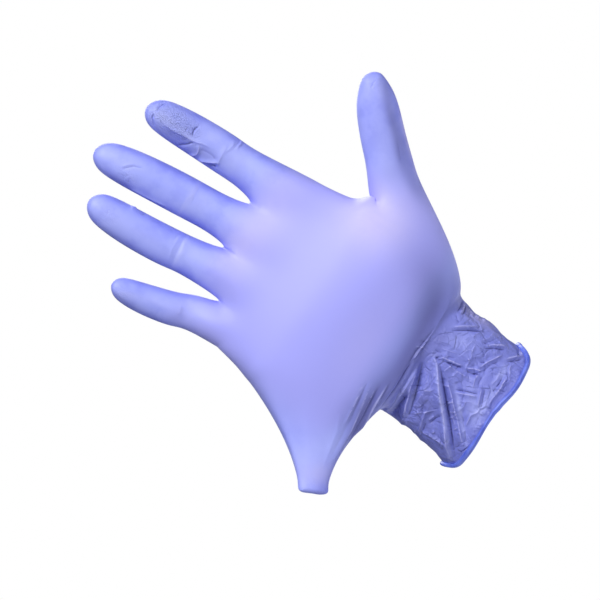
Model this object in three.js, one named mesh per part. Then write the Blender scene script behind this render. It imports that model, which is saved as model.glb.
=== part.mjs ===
// Nitrile exam glove for the right hand, in the form that it takes on an open hand while the palm film
// is pulled out past the little finger: a thin hollow film that is open at the cuff, and the rolled bead
// round its mouth.
//
// Millimetres. The origin is the middle of the cuff's mouth, +Z runs from the mouth to the fingertips,
// the palm faces -Y and the thumb is on the +X side.
//
// The film is one smooth surface. A net of four-sided faces is laid out from the tables below: a ring of
// points for each section of cuff and palm, and a tube of rings for each digit and for the pulled film.
// The net is fitted until its smooth surface goes through those rings, and the inner face of the film is
// the outer face moved in by the film's thickness.

import * as THREE from "three";

// Film and bead
const FILM = 1.0;
const BEAD_DIAMETER = 2.8;
const BEAD_CLEARANCE = 0.3;

// Cuff, from its mouth to the gather at the wrist
const CUFF_LENGTH = 41;
const MOUTH_WIDTH = 66.5;
const MOUTH_DEPTH = 54;
const MOUTH_SIDE_RISE = 6.5;
const MOUTH_DIP = 1.0;
const MOUTH_WAVE = 1.3;
const MOUTH_WAVES = 0.75;
const MOUTH_CORNER_SHARPNESS = 6;
const WRIST_WIDTH = 66;
const WRIST_DEPTH = 41;
const WRIST_SHIFT = 5.5;

// Palm, from the gather to the fork between the index and middle fingers
const PALM_LENGTH = 109;
const PALM_WIDTH = 92;
const PALM_FRONT = 33;
const PALM_BACK = 15;
const PALM_EDGE = 5;
const KNUCKLE_DEPTH = 26;
const KNUCKLE_SLOPE = 23;

// Digits, each finger from the higher of its two forks, the thumb from the middle of its root
const INDEX_LENGTH = 66.5;
const MIDDLE_LENGTH = 76.5;
const RING_LENGTH = 66.5;
const LITTLE_LENGTH = 47.5;
const THUMB_LENGTH = 74.5;
const FINGER_WIDTH = 20.8;
const THUMB_WIDTH = 21.8;
const FINGER_FLATNESS = 0.87;
const THUMB_TIP_FLAT = 7.4;
const THUMB_TIP_CROWN = 1.1;

// The film that is pulled out beside the palm: where its closed end is, from the middle of the gather
const PULL_OUT = 78;
const PULL_UP = 9;
const PULL_FORWARD = 27;
const PULL_END_WIDTH = 14;
const PULL_END_THICKNESS = 6;
const PULL_END_LEAN = 25;

// Folds of the crumpled cuff
const FOLD_HEIGHT = 2.7;
const FOLD_WIDTH = 4.4;
const FOLD_FREE_FROM = { mouth: 0.16, wrist: 0.1 };

// Columns of points across the hand, as shares of the width from the thumb's side. Every second one,
// from the third on, ends at the fork between two fingers.
const COLUMNS = [0.04, 0.14, 0.277, 0.41, 0.543, 0.665, 0.788, 0.89, 0.965];

// Sections of the cuff: place up it, how far its oval has turned from the mouth's into the wrist's, and
// how wide it is against the blend of the two.
const CUFF_SECTIONS = [
  { up: 0, wrist: 0, width: 1 },
  { up: 0.17, wrist: 0.3, width: 0.97 },
  { up: 0.34, wrist: 0.5, width: 0.96 },
  { up: 0.51, wrist: 0.62, width: 0.96 },
  { up: 0.68, wrist: 0.74, width: 0.95 },
  { up: 0.85, wrist: 0.9, width: 0.97 },
  { up: 1, wrist: 1, width: 1 },
];
const CUFF_SQUARENESS = 2.15;

// Sections of the palm: place up it, its two edges as shares of half the palm's width, the height of
// its front on the thumb's and the little finger's side and of its back as shares of theirs, and how
// much the pulled film keeps the front from rounding off on the little finger's side.
const PALM_SECTIONS = [
  { up: 0.034, thumb: 0.95, little: 0.65, front: 0.86, frontLittle: 0.84, back: 1.24, pulled: 0.6 },
  { up: 0.174, thumb: 1.235, little: 0.8, front: 1.04, frontLittle: 0.94, back: 1.14, pulled: 0.85 },
  { up: 0.284, thumb: 1.22, little: 0.88, front: 1.09, frontLittle: 0.95, back: 1.07, pulled: 0.85 },
  { up: 0.385, thumb: 1.19, little: 0.94, front: 1.06, frontLittle: 0.93, back: 1.02, pulled: 0.8 },
  { up: 0.486, thumb: 1.17, little: 1.0, front: 0.96, frontLittle: 0.86, back: 1.0, pulled: 0.6 },
  { up: 0.55, thumb: 1.24, little: 1.14, front: 0.89, frontLittle: 0.8, back: 0.98, pulled: 0.35 },
  { up: 0.67, thumb: 1.055, little: 1.05, front: 0.7, frontLittle: 0.63, back: 0.95, pulled: 0.1 },
  { up: 0.761, thumb: 1.02, little: 1.004, front: 0.56, frontLittle: 0.5, back: 0.9, pulled: 0 },
];
const PALM_SQUARENESS = 2.6;

// The row where the fingers begin: how far each column lies below the first fork, as a share of the
// slope, and how deep it is, as a share of the knuckles' depth.
const KNUCKLES = [
  { drop: 0.6, depth: 0.8 },
  { drop: 0.48, depth: 1 },
  { drop: 0.3, depth: 0.72 },
  { drop: 0.34, depth: 1 },
  { drop: 0.38, depth: 0.72 },
  { drop: 0.52, depth: 1 },
  { drop: 0.8, depth: 0.7 },
  { drop: 0.87, depth: 0.95 },
  { drop: 1, depth: 0.75 },
];
const KNUCKLE_ENDS = { thumb: 0.61, little: 0.96 };
const FORKS = [0, 0.04, 0.54];

// Digits: width as a share of the finger's or thumb's width, splay of the tip towards the thumb's side
// in degrees, sideways bow of the middle line the same way and narrowing towards the tip as shares of
// the width, and curl, how far the tip comes forward, as a share of the length. The curl grows along a
// digit by the power below.
const CURL_POWER = 1.8;
const FINGERS = [
  { length: INDEX_LENGTH, width: 0.98, splay: -1, bow: 0.05, taper: 0.03, curl: 0.09 },
  { length: MIDDLE_LENGTH, width: 0.96, splay: -5.6, bow: 0.04, taper: 0.02, curl: 0.06 },
  { length: RING_LENGTH, width: 0.92, splay: -4.8, bow: -0.08, taper: 0.03, curl: 0.1 },
  { length: LITTLE_LENGTH, width: 0.86, splay: -14.5, bow: -0.1, taper: 0.18, curl: 0.16 },
];
const THUMB = { length: THUMB_LENGTH, width: 0.98, splay: 44, bow: -0.06, taper: 0.02, curl: 0.1 };

// Sections of a digit: place along it, and its width and thickness as shares of the digit's own.
const FINGER_SECTIONS = [
  { along: 0.13, width: 1.01, thickness: 1.02 },
  { along: 0.32, width: 1, thickness: 1 },
  { along: 0.52, width: 1, thickness: 0.98 },
  { along: 0.7, width: 0.965, thickness: 0.95 },
  { along: 0.84, width: 0.875, thickness: 0.84 },
  { along: 0.945, width: 0.63, thickness: 0.58 },
];
const THUMB_SECTIONS = [
  { along: 0.2, width: 1.2, thickness: 1.36 },
  { along: 0.38, width: 1.08, thickness: 1.12 },
  { along: 0.56, width: 1.03, thickness: 1.02 },
  { along: 0.72, width: 0.99, thickness: 0.96 },
  { along: 0.85, width: 0.85, thickness: 0.82 },
  { along: 0.945, width: 0.58, thickness: 0.56 },
];

// Sections of the pulled film: place along it. It narrows faster than evenly, as a stretched film does.
const PULL_SECTIONS = [0.2, 0.4, 0.6, 0.78, 0.92];
const PULL_TAPER = 1.6;

// The palm sections between which the thumb and the pulled film leave the hand's edges.
const THUMB_ROOT = { from: 1, to: 5 };
const PULL_ROOT = { from: 0, to: 5 };

// The places in a ring of points of the thumb's and the little finger's edge.
const THUMB_EDGE = 0;
const LITTLE_EDGE = COLUMNS.length + 1;

// Ridges and valleys of the cuff, each from one place to another: around is degrees from the thumb's
// edge over the palm side, up is a share of the cuff's length, and wide and high are shares of the
// fold's width and height. A valley has a height below nothing.
const CUFF_FOLDS = [
  { around: 161, up: 0.04, toAround: 84, toUp: 0.9, wide: 1, high: 1 },
  { around: 148, up: 0.04, toAround: 96, toUp: 0.6, wide: 0.85, high: -0.7 },
  { around: 141, up: 0.72, toAround: 84, toUp: 0.95, wide: 0.85, high: 0.75 },
  { around: 142, up: 0.56, toAround: 116, toUp: 0.74, wide: 0.8, high: -0.6 },
  { around: 50, up: 0.9, toAround: 28, toUp: 0.48, wide: 0.85, high: 0.7 },
  { around: 76, up: 0.72, toAround: 64, toUp: 0.3, wide: 0.85, high: -0.6 },
  { around: 74, up: 0.12, toAround: 34, toUp: 0.3, wide: 0.85, high: 0.65 },
  { around: 176, up: 0.12, toAround: 184, toUp: 0.66, wide: 0.9, high: 0.6 },
  { around: 205, up: 0.9, toAround: 228, toUp: 0.1, wide: 1, high: 0.8 },
  { around: 262, up: 0.92, toAround: 238, toUp: 0.2, wide: 1, high: -0.7 },
  { around: 284, up: 0.1, toAround: 318, toUp: 0.88, wide: 1, high: 0.8 },
  { around: 340, up: 0.85, toAround: 348, toUp: 0.15, wide: 0.9, high: -0.6 },
];

// How finely the net is fitted and the bead is drawn
const FIT_ROUNDS = 12;
const BEAD_STEPS = 60;
const BEAD_SIDES = 8;

const { clamp, lerp, degToRad, smoothstep } = THREE.MathUtils;
const vector = (x, y, z) => new THREE.Vector3(x, y, z);
const mean = (points) => points.reduce((sum, p) => sum.add(p), vector(0, 0, 0)).divideScalar(points.length);

// A net of four-sided faces, wound anticlockwise as seen from outside, that is open at its first ring.
class Net {
  constructor() {
    this.points = [];
    this.faces = [];
  }

  add(points) {
    const first = this.points.length;
    this.points.push(...points);
    return points.map((_, i) => first + i);
  }

  // Faces between two rings, the second one further along the tube. Skipped faces leave a hole.
  join(near, far, skip = () => false) {
    near.forEach((_, i) => {
      const next = (i + 1) % near.length;
      if (!skip(i)) this.faces.push([near[i], far[i], far[next], near[next]]);
    });
  }

  // Closes a ring with two rows of faces on both sides of a line of points down the middle.
  cap(ring, middle) {
    const line = [ring[0], ...this.add(middle), ring[ring.length / 2]];
    for (let i = 0; i + 1 < line.length; i += 1) {
      const other = ring.length - 1 - i;
      this.faces.push([line[i], line[i + 1], ring[i + 2], ring[i + 1]]);
      this.faces.push([line[i], ring[other], ring[other - 1], line[i + 1]]);
    }
  }

  // For each point, its neighbours along edges, the far corners of its faces, and, on the open edge,
  // its two neighbours along it.
  neighbours() {
    const around = this.points.map(() => ({ sides: new Map(), corners: [] }));
    const count = (from, to) => around[from].sides.set(to, (around[from].sides.get(to) ?? 0) + 1);
    this.faces.forEach((face) => {
      face.forEach((point, i) => {
        count(point, face[(i + 1) % 4]);
        count(point, face[(i + 3) % 4]);
        around[point].corners.push(face[(i + 2) % 4]);
      });
    });
    return around.map(({ sides, corners }) => ({
      sides: [...sides.keys()],
      corners,
      open: [...sides.keys()].filter((side) => sides.get(side) === 1),
    }));
  }

  // Where each point of the net ends up on the smooth surface.
  smoothed(around = this.neighbours()) {
    const sum = (indices) => mean(indices.map((i) => this.points[i])).multiplyScalar(indices.length);
    return this.points.map((point, i) => {
      const { sides, corners, open } = around[i];
      if (open.length) return point.clone().multiplyScalar(4).add(sum(open)).divideScalar(6);
      const n = sides.length;
      const total = point.clone().multiplyScalar(n * n);
      total.addScaledVector(sum(sides), 4).add(sum(corners));
      return total.divideScalar(n * (n + 5));
    });
  }

  // Moves the net's points until its smooth surface goes through where they are now.
  fit(rounds) {
    const around = this.neighbours();
    const wanted = this.points.map((point) => point.clone());
    for (let round = 0; round < rounds; round += 1) {
      const smooth = this.smoothed(around);
      this.points.forEach((point, i) => point.add(wanted[i]).sub(smooth[i]));
    }
  }

  // The same smooth surface with each face cut into four: a new point in the middle of each face and
  // near the middle of each edge, and the old points moved towards their neighbours.
  refined() {
    const fine = new Net();
    const around = this.neighbours();
    const at = (indices) => mean(indices.map((i) => this.points[i]));
    fine.add(
      this.points.map((point, i) => {
        const { sides, corners, open } = around[i];
        if (open.length) return point.clone().multiplyScalar(3).add(at(open)).divideScalar(4);
        const n = sides.length;
        const held = point.clone().multiplyScalar(n - 1.75);
        return held.addScaledVector(at(sides), 1.5).addScaledVector(at(corners), 0.25).divideScalar(n);
      }),
    );
    const centres = fine.add(this.faces.map(at));
    const edges = new Map();
    this.faces.forEach((face, f) => {
      face.forEach((point, i) => {
        const next = face[(i + 1) % 4];
        const key = `${Math.min(point, next)} ${Math.max(point, next)}`;
        edges.set(key, [...(edges.get(key) ?? [point, next]), centres[f]]);
      });
    });
    const middles = new Map();
    edges.forEach(([from, to, ...faces], key) => {
      const ends = [this.points[from], this.points[to]];
      const sides = faces.length > 1 ? faces.map((f) => fine.points[f]) : [];
      middles.set(key, fine.add([mean([...ends, ...sides])])[0]);
    });
    this.faces.forEach((face, f) => {
      const edge = face.map((point, i) => {
        const next = face[(i + 1) % 4];
        return middles.get(`${Math.min(point, next)} ${Math.max(point, next)}`);
      });
      face.forEach((point, i) => fine.faces.push([point, edge[i], centres[f], edge[(i + 3) % 4]]));
    });
    return fine;
  }

  // The outward direction at each point.
  normals() {
    const normals = this.points.map(() => vector(0, 0, 0));
    this.faces.forEach((face) => {
      const [a, b, c, d] = face.map((i) => this.points[i]);
      const across = c.clone().sub(a).cross(d.clone().sub(b));
      face.forEach((i) => normals[i].add(across));
    });
    return normals.map((normal) => normal.normalize());
  }

  // The open edge, from one point to the next along it.
  openEdge() {
    const around = this.neighbours();
    const edge = [around.findIndex(({ open }) => open.length)];
    for (;;) {
      const [before, here] = [edge.at(-2), edge.at(-1)];
      const next = around[here].open.find((point) => point !== before);
      if (next === edge[0]) return edge;
      edge.push(next);
    }
  }
}

// A ring of twenty points round the cuff or palm: the thumb's edge, the palm side's columns, the little
// finger's edge and the back's columns on the way back. Both halves are parts of a rounded rectangle.
function handRing({ thumb, little, edge, front, frontLittle, back, squareness, pulled = 0 }, heightAt) {
  const roundness = (share) => (1 - Math.abs(2 * share - 1) ** squareness) ** (1 / squareness);
  const place = (share, y) => vector(lerp(thumb, little, share), y, heightAt(lerp(thumb, little, share), y));
  const palm = COLUMNS.map((share) => {
    const rise = lerp(roundness(share), 1, pulled * smoothstep(share, 0.5, 1));
    return place(share, -edge - (lerp(front, frontLittle, share) - edge) * rise);
  });
  const dorsal = COLUMNS.map((share) => place(share, -edge + (back + edge) * roundness(share)));
  return [place(0, -edge), ...palm, place(1, -edge), ...dorsal.reverse()];
}

// The mouth's edge rises at both sides, dips a little at the palm and the back, and is wavy.
function mouthHeight(x, y) {
  const across = clamp(x / (MOUTH_WIDTH / 2), -1, 1);
  const corner = across ** MOUTH_CORNER_SHARPNESS;
  const wave = MOUTH_WAVE * Math.sin(2 * Math.PI * MOUTH_WAVES * across) * (y < 0 ? 1 : -0.5);
  return lerp(-MOUTH_DIP - wave, MOUTH_SIDE_RISE - MOUTH_DIP, corner);
}

// The mouth's own shape fades out with the square of the way up to the gather.
function cuffRing({ up, wrist, width }) {
  const middle = WRIST_SHIFT * up;
  const half = (lerp(MOUTH_WIDTH, WRIST_WIDTH, wrist) * width) / 2;
  const depth = lerp(MOUTH_DEPTH, WRIST_DEPTH, wrist) / 2;
  const level = (x, y) => CUFF_LENGTH * up + mouthHeight(x, y) * (1 - up) ** 2;
  const sides = { thumb: middle + half, little: middle - half, edge: 0 };
  const oval = { front: depth, frontLittle: depth, back: depth, squareness: CUFF_SQUARENESS };
  return handRing({ ...sides, ...oval }, level);
}

function palmRing({ up, thumb, little, front, frontLittle, back, pulled }) {
  const sides = { thumb: (thumb * PALM_WIDTH) / 2, little: (-little * PALM_WIDTH) / 2, edge: PALM_EDGE };
  const fronts = { front: front * PALM_FRONT, frontLittle: frontLittle * PALM_FRONT };
  const level = () => CUFF_LENGTH + PALM_LENGTH * up;
  const shape = { back: back * PALM_BACK, squareness: PALM_SQUARENESS, pulled };
  return handRing({ ...sides, ...fronts, ...shape }, level);
}

// The ring that the fingers begin on, and the points of the forks between them.
function knuckleRing() {
  const top = CUFF_LENGTH + PALM_LENGTH;
  const across = (share) => PALM_WIDTH * (0.5 - share);
  const side = (sign) => (row, i) => {
    const y = (sign * row.depth * KNUCKLE_DEPTH) / 2;
    return vector(across(COLUMNS[i]), y - PALM_EDGE / 4, top - row.drop * KNUCKLE_SLOPE);
  };
  const end = (share, drop) => vector(across(share), -PALM_EDGE / 4, top - drop * KNUCKLE_SLOPE);
  const palm = KNUCKLES.map(side(-1));
  const dorsal = KNUCKLES.map(side(1)).reverse();
  return [end(0, KNUCKLE_ENDS.thumb), ...palm, end(1, KNUCKLE_ENDS.little), ...dorsal];
}

function forkPoints() {
  const top = CUFF_LENGTH + PALM_LENGTH;
  return FORKS.map((drop, i) => {
    return vector(PALM_WIDTH * (0.5 - COLUMNS[2 * i + 2]), -PALM_EDGE / 4, top - drop * KNUCKLE_SLOPE);
  });
}

// The rings of a digit. Each is an oval round a middle line that bows sideways and curls forward. The
// first point of a ring lies towards firstSide, and a quarter further on it lies towards face.
function digitRings(digit, fullWidth, sections, { base, count, firstSide, face }) {
  const splay = degToRad(digit.splay);
  const axis = vector(Math.sin(splay), 0, Math.cos(splay));
  const thumbward = vector(Math.cos(splay), 0, -Math.sin(splay));
  const width = fullWidth * digit.width;
  const middleAt = (along) => {
    const middle = base.clone().addScaledVector(axis, digit.length * along);
    middle.addScaledVector(thumbward, digit.bow * width * Math.sin(Math.PI * along));
    return middle.setY(middle.y - digit.curl * digit.length * along ** CURL_POWER);
  };
  const rings = sections.map((section) => {
    const narrowing = 1 - digit.taper * section.along;
    const halfWidth = (width * section.width * narrowing) / 2;
    const halfDepth = (width * FINGER_FLATNESS * section.thickness * narrowing) / 2;
    return Array.from({ length: count }, (_, i) => {
      const turn = (2 * Math.PI * i) / count;
      const point = middleAt(section.along);
      point.addScaledVector(thumbward, firstSide * halfWidth * Math.cos(turn));
      return point.setY(point.y + face * halfDepth * Math.sin(turn));
    });
  });
  return { rings, tip: middleAt(1), axis, thumbward };
}

function addTube(net, root, rings, middle) {
  const loops = [root, ...rings.map((ring) => net.add(ring))];
  loops.slice(1).forEach((loop, i) => net.join(loops[i], loop));
  net.cap(loops.at(-1), middle);
}

// Finger number i stands on the points from one fork to the next, over the palm side and the back.
function addFinger(net, knuckles, forks, i) {
  const palm = knuckles.slice(1, LITTLE_EDGE);
  const dorsal = knuckles.slice(LITTLE_EDGE + 1).reverse();
  const from = 2 * i;
  const sides = [knuckles[THUMB_EDGE], ...forks, knuckles[LITTLE_EDGE]];
  const root = [sides[i], palm[from], palm[from + 1], palm[from + 2]];
  root.push(sides[i + 1], dorsal[from + 2], dorsal[from + 1], dorsal[from]);
  const [left, right] = [net.points[sides[i]], net.points[sides[i + 1]]];
  const base = mean([left, right]).setZ(Math.max(left.z, right.z));
  const place = { base, count: root.length, firstSide: 1, face: -1 };
  const { rings, tip } = digitRings(FINGERS[i], FINGER_WIDTH, FINGER_SECTIONS, place);
  addTube(net, root, rings, [tip]);
}

// The points round the faces that are left out between two palm rings on one edge of the hand: from
// the middle of the hole's upper end down the column before the edge, and up the column after it.
function rootLoop(rings, { from, to }, edge) {
  const rows = rings.slice(from, to + 1);
  const column = (offset) => rows.map((ring) => ring[(edge + offset + ring.length) % ring.length]);
  return [rows.at(-1)[edge], ...column(-1).reverse(), rows[0][edge], ...column(1)];
}

function addThumb(net, palmRings) {
  const root = rootLoop(palmRings, THUMB_ROOT, THUMB_EDGE);
  const base = mean(root.map((i) => net.points[i]));
  const place = { base, count: root.length, firstSide: -1, face: 1 };
  const { rings, tip, axis, thumbward } = digitRings(THUMB, THUMB_WIDTH, THUMB_SECTIONS, place);
  const middle = [-1, 0, 1].map((side) => {
    const point = tip.clone().addScaledVector(thumbward, (side * THUMB_TIP_FLAT) / 2);
    return point.addScaledVector(axis, -Math.abs(side) * THUMB_TIP_CROWN);
  });
  addTube(net, root, rings, middle);
}

// The pulled film runs from the hole in the palm's edge to a small flat closed end.
function addPulledFilm(net, palmRings) {
  const root = rootLoop(palmRings, PULL_ROOT, LITTLE_EDGE);
  const from = root.map((i) => net.points[i]);
  const rootMiddle = mean(from);
  const endMiddle = vector(-PULL_OUT, -PULL_FORWARD, CUFF_LENGTH + PULL_UP);
  const lean = degToRad(PULL_END_LEAN);
  const upward = vector(-Math.sin(lean), 0, Math.cos(lean));
  const endOffset = (turn) => {
    const offset = upward.clone().multiplyScalar((Math.cos(turn) * PULL_END_WIDTH) / 2);
    return offset.setY((-Math.sin(turn) * PULL_END_THICKNESS) / 2);
  };
  const ringAt = (along) => {
    const gathered = 1 - (1 - along) ** PULL_TAPER;
    return from.map((point, i) => {
      const offset = point.clone().sub(rootMiddle).lerp(endOffset((2 * Math.PI * i) / from.length), gathered);
      return offset.add(rootMiddle.clone().lerp(endMiddle, along));
    });
  };
  const middle = [0.6, 0.2, -0.2, -0.6].map((share) => {
    const point = endMiddle.clone().addScaledVector(upward, (share * PULL_END_WIDTH) / 2);
    return point.setX(point.x - PULL_END_THICKNESS / 4);
  });
  addTube(net, root, [...PULL_SECTIONS, 1].map(ringAt), middle);
}

function filmNet() {
  const net = new Net();
  const cuff = CUFF_SECTIONS.map((section) => net.add(cuffRing(section)));
  const palm = PALM_SECTIONS.map((section) => net.add(palmRing(section)));
  const knuckles = net.add(knuckleRing());
  const forks = net.add(forkPoints());
  const rings = [...cuff, ...palm, knuckles];
  const isHole = (row, i, { from, to }, edge) => {
    const beside = i === edge || i === (edge + rings[0].length - 1) % rings[0].length;
    return beside && row >= cuff.length + from && row < cuff.length + to;
  };
  rings.slice(1).forEach((ring, row) => {
    const isThumb = (i) => isHole(row, i, THUMB_ROOT, THUMB_EDGE);
    net.join(rings[row], ring, (i) => isThumb(i) || isHole(row, i, PULL_ROOT, LITTLE_EDGE));
  });
  FINGERS.forEach((_, i) => addFinger(net, knuckles, forks, i));
  addThumb(net, palm);
  addPulledFilm(net, palm);
  return net;
}

// How far the cuff's folds lift the film at a point: each fold is a round ridge along a straight line
// on the unrolled cuff, and the mouth's edge and the wrist keep still.
function foldLift(point) {
  const up = point.z / CUFF_LENGTH;
  const radius = (MOUTH_WIDTH + MOUTH_DEPTH) / 4;
  const angle = (Math.atan2(-point.y / MOUTH_DEPTH, point.x / MOUTH_WIDTH) + 2 * Math.PI) % (2 * Math.PI);
  const here = new THREE.Vector2(angle * radius, point.z);
  const held = smoothstep(up, 0, FOLD_FREE_FROM.mouth) * smoothstep(1 - up, 0, FOLD_FREE_FROM.wrist);
  const lifts = CUFF_FOLDS.map((fold) => {
    const start = new THREE.Vector2(degToRad(fold.around) * radius, fold.up * CUFF_LENGTH);
    const end = new THREE.Vector2(degToRad(fold.toAround) * radius, fold.toUp * CUFF_LENGTH);
    const run = end.clone().sub(start);
    const along = clamp(here.clone().sub(start).dot(run) / run.lengthSq(), 0, 1);
    const away = here.distanceTo(start.addScaledVector(run, along)) / (fold.wide * FOLD_WIDTH);
    return fold.high * FOLD_HEIGHT * Math.exp(-away * away);
  });
  return held * lifts.reduce((sum, lift) => sum + lift, 0);
}

// The net with every point on the smooth surface, folded at the cuff.
function foldedFilm() {
  const net = filmNet();
  net.fit(FIT_ROUNDS);
  const film = net.refined();
  film.points = film.smoothed();
  const normals = film.normals();
  film.points.forEach((point, i) => point.addScaledVector(normals[i], foldLift(point)));
  return film;
}

// The film with its thickness: the outer face, the inner face turned over, and the edge at the mouth.
function shellGeometry(film) {
  const normals = film.normals();
  const count = film.points.length;
  const inner = film.points.map((point, i) => point.clone().addScaledVector(normals[i], -FILM));
  const triangles = [];
  const addQuad = (a, b, c, d) => triangles.push(a, b, c, a, c, d);
  film.faces.forEach(([a, b, c, d]) => {
    addQuad(a, b, c, d);
    addQuad(a + count, d + count, c + count, b + count);
  });
  const edge = film.openEdge();
  edge.forEach((here, i) => {
    const next = edge[(i + 1) % edge.length];
    addQuad(here, next, next + count, here + count);
  });
  const geometry = new THREE.BufferGeometry().setFromPoints([...film.points, ...inner]);
  geometry.setIndex(triangles);
  geometry.computeVertexNormals();
  return geometry;
}

// The rolled bead follows the film's edge, a bead's radius and the clearance away from it, in the
// direction in which the film would go on.
function beadGeometry(film) {
  const normals = film.normals();
  const edge = film.openEdge();
  const path = edge.map((i, step) => {
    const before = film.points[edge.at(step - 1)];
    const after = film.points[edge[(step + 1) % edge.length]];
    const onward = after.clone().sub(before).cross(normals[i]).normalize();
    if (onward.z > 0) onward.negate();
    const point = film.points[i].clone().addScaledVector(normals[i], -FILM / 2);
    return point.addScaledVector(onward, BEAD_DIAMETER / 2 + BEAD_CLEARANCE);
  });
  const curve = new THREE.CatmullRomCurve3(path, true, "centripetal");
  return new THREE.TubeGeometry(curve, BEAD_STEPS, BEAD_DIAMETER / 2, BEAD_SIDES, true);
}

function namedMesh(name, geometry, color, roughness) {
  const material = new THREE.MeshStandardMaterial({ color, roughness, metalness: 0 });
  const mesh = new THREE.Mesh(geometry, material);
  mesh.name = name;
  return mesh;
}

function buildGlove() {
  const glove = new THREE.Group();
  glove.name = "nitrile_exam_glove";
  const film = foldedFilm();
  glove.add(namedMesh("glove_shell", shellGeometry(film), "#a9b0f4", 0.42));
  glove.add(namedMesh("cuff_bead", beadGeometry(film), "#6f80dc", 0.36));
  return glove;
}

export default buildGlove();
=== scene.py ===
"""Nitrile exam glove for the right hand, with its palm film pulled out past the little finger.

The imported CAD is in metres. The tables here are in millimetres and a mesh is scaled once, when it is
written. The origin is the middle of the cuff's mouth, +Z runs to the fingertips, the palm faces -Y and the
thumb is on the +X side.

The film is one smooth surface: a net of four-sided faces whose subdivision goes through the sections of
the cuff, the palm and the digits. Its points are then lifted along their normals by the creases, ridges
and crumples of thin film. The rolled bead is a profile carried round the film's edge.
"""

from __future__ import annotations

import logging
from dataclasses import dataclass, field
from enum import Enum
from functools import cached_property
from typing import Any, NamedTuple, Sequence

import bpy
import numpy as np
from mathutils import Matrix, Vector

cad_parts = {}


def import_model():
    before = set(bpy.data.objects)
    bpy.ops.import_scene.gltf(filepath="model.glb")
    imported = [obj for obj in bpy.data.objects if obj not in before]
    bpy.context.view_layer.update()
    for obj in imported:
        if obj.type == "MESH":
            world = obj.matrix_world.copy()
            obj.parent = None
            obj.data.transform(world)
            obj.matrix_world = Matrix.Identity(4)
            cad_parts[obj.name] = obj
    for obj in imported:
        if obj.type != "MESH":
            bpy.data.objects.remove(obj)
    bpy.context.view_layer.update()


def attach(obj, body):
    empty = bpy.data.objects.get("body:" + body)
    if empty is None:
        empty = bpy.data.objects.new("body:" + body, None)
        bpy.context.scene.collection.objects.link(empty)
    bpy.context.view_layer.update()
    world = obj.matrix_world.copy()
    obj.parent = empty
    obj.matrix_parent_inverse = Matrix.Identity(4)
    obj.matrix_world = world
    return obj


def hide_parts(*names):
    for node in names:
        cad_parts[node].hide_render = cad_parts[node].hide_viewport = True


LOG = logging.getLogger("exam_glove")
MM = 0.001
Array = np.ndarray
# Red, green and blue as a display shows them, 0 to 255
Paint = tuple[int, int, int]


def smoothstep(value: Array, low: float, high: float) -> Array:
    """Eased share of the way from low to high, 0 below and 1 above."""
    share = np.clip((value - low) / (high - low), 0.0, 1.0)
    return share * share * (3.0 - 2.0 * share)


def lerp(start: Any, end: Any, share: Any) -> Any:
    """Value that lies the share of the way from start to end."""
    return start + (end - start) * share


def unit(vectors: Array) -> Array:
    """Rows of vectors scaled to length one."""
    return vectors / np.maximum(np.linalg.norm(vectors, axis=-1, keepdims=True), 1e-12)


def linear(red: int, green: int, blue: int) -> tuple[float, float, float, float]:
    """Shader colour of a display colour in 0 to 255.

    Args:
        red: Its red.
        green: Its green.
        blue: Its blue.

    Returns:
        Red, green, blue and an alpha of one, in the shader's own scale.
    """
    share = np.array([red, green, blue]) / 255.0
    value = np.where(share <= 0.04045, share / 12.92, ((share + 0.055) / 1.055) ** 2.4)
    return (*(float(v) for v in value), 1.0)


def gathered(count: int, into: Array, rows: Array) -> Array:
    """Sum of the rows that go into each of count places."""
    return np.stack([np.bincount(into, rows[:, k], count) for k in range(rows.shape[1])], axis=1)


def waves(
    points: Array, length: float, count: int, seed: int, stretch: Sequence[float] = (1, 1, 1)
) -> Array:
    """Smooth noise of about one unit: a sum of plane waves in random directions.

    Args:
        points: Places, one row each, in millimetres.
        length: Mean wave length in millimetres.
        count: Number of waves.
        seed: Seed of the directions and phases.
        stretch: How much longer the waves are along X, Y and Z.

    Returns:
        One value for each point.
    """
    rng = np.random.default_rng(seed)
    heading = unit(rng.normal(size=(count, 3))) / np.array(stretch, float)
    wave = 2 * np.pi / (length * rng.uniform(0.7, 1.45, count))
    phase = rng.uniform(0, 2 * np.pi, count)
    return np.sin((points @ heading.T) * wave + phase).sum(axis=1) / np.sqrt(count / 2)


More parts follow.
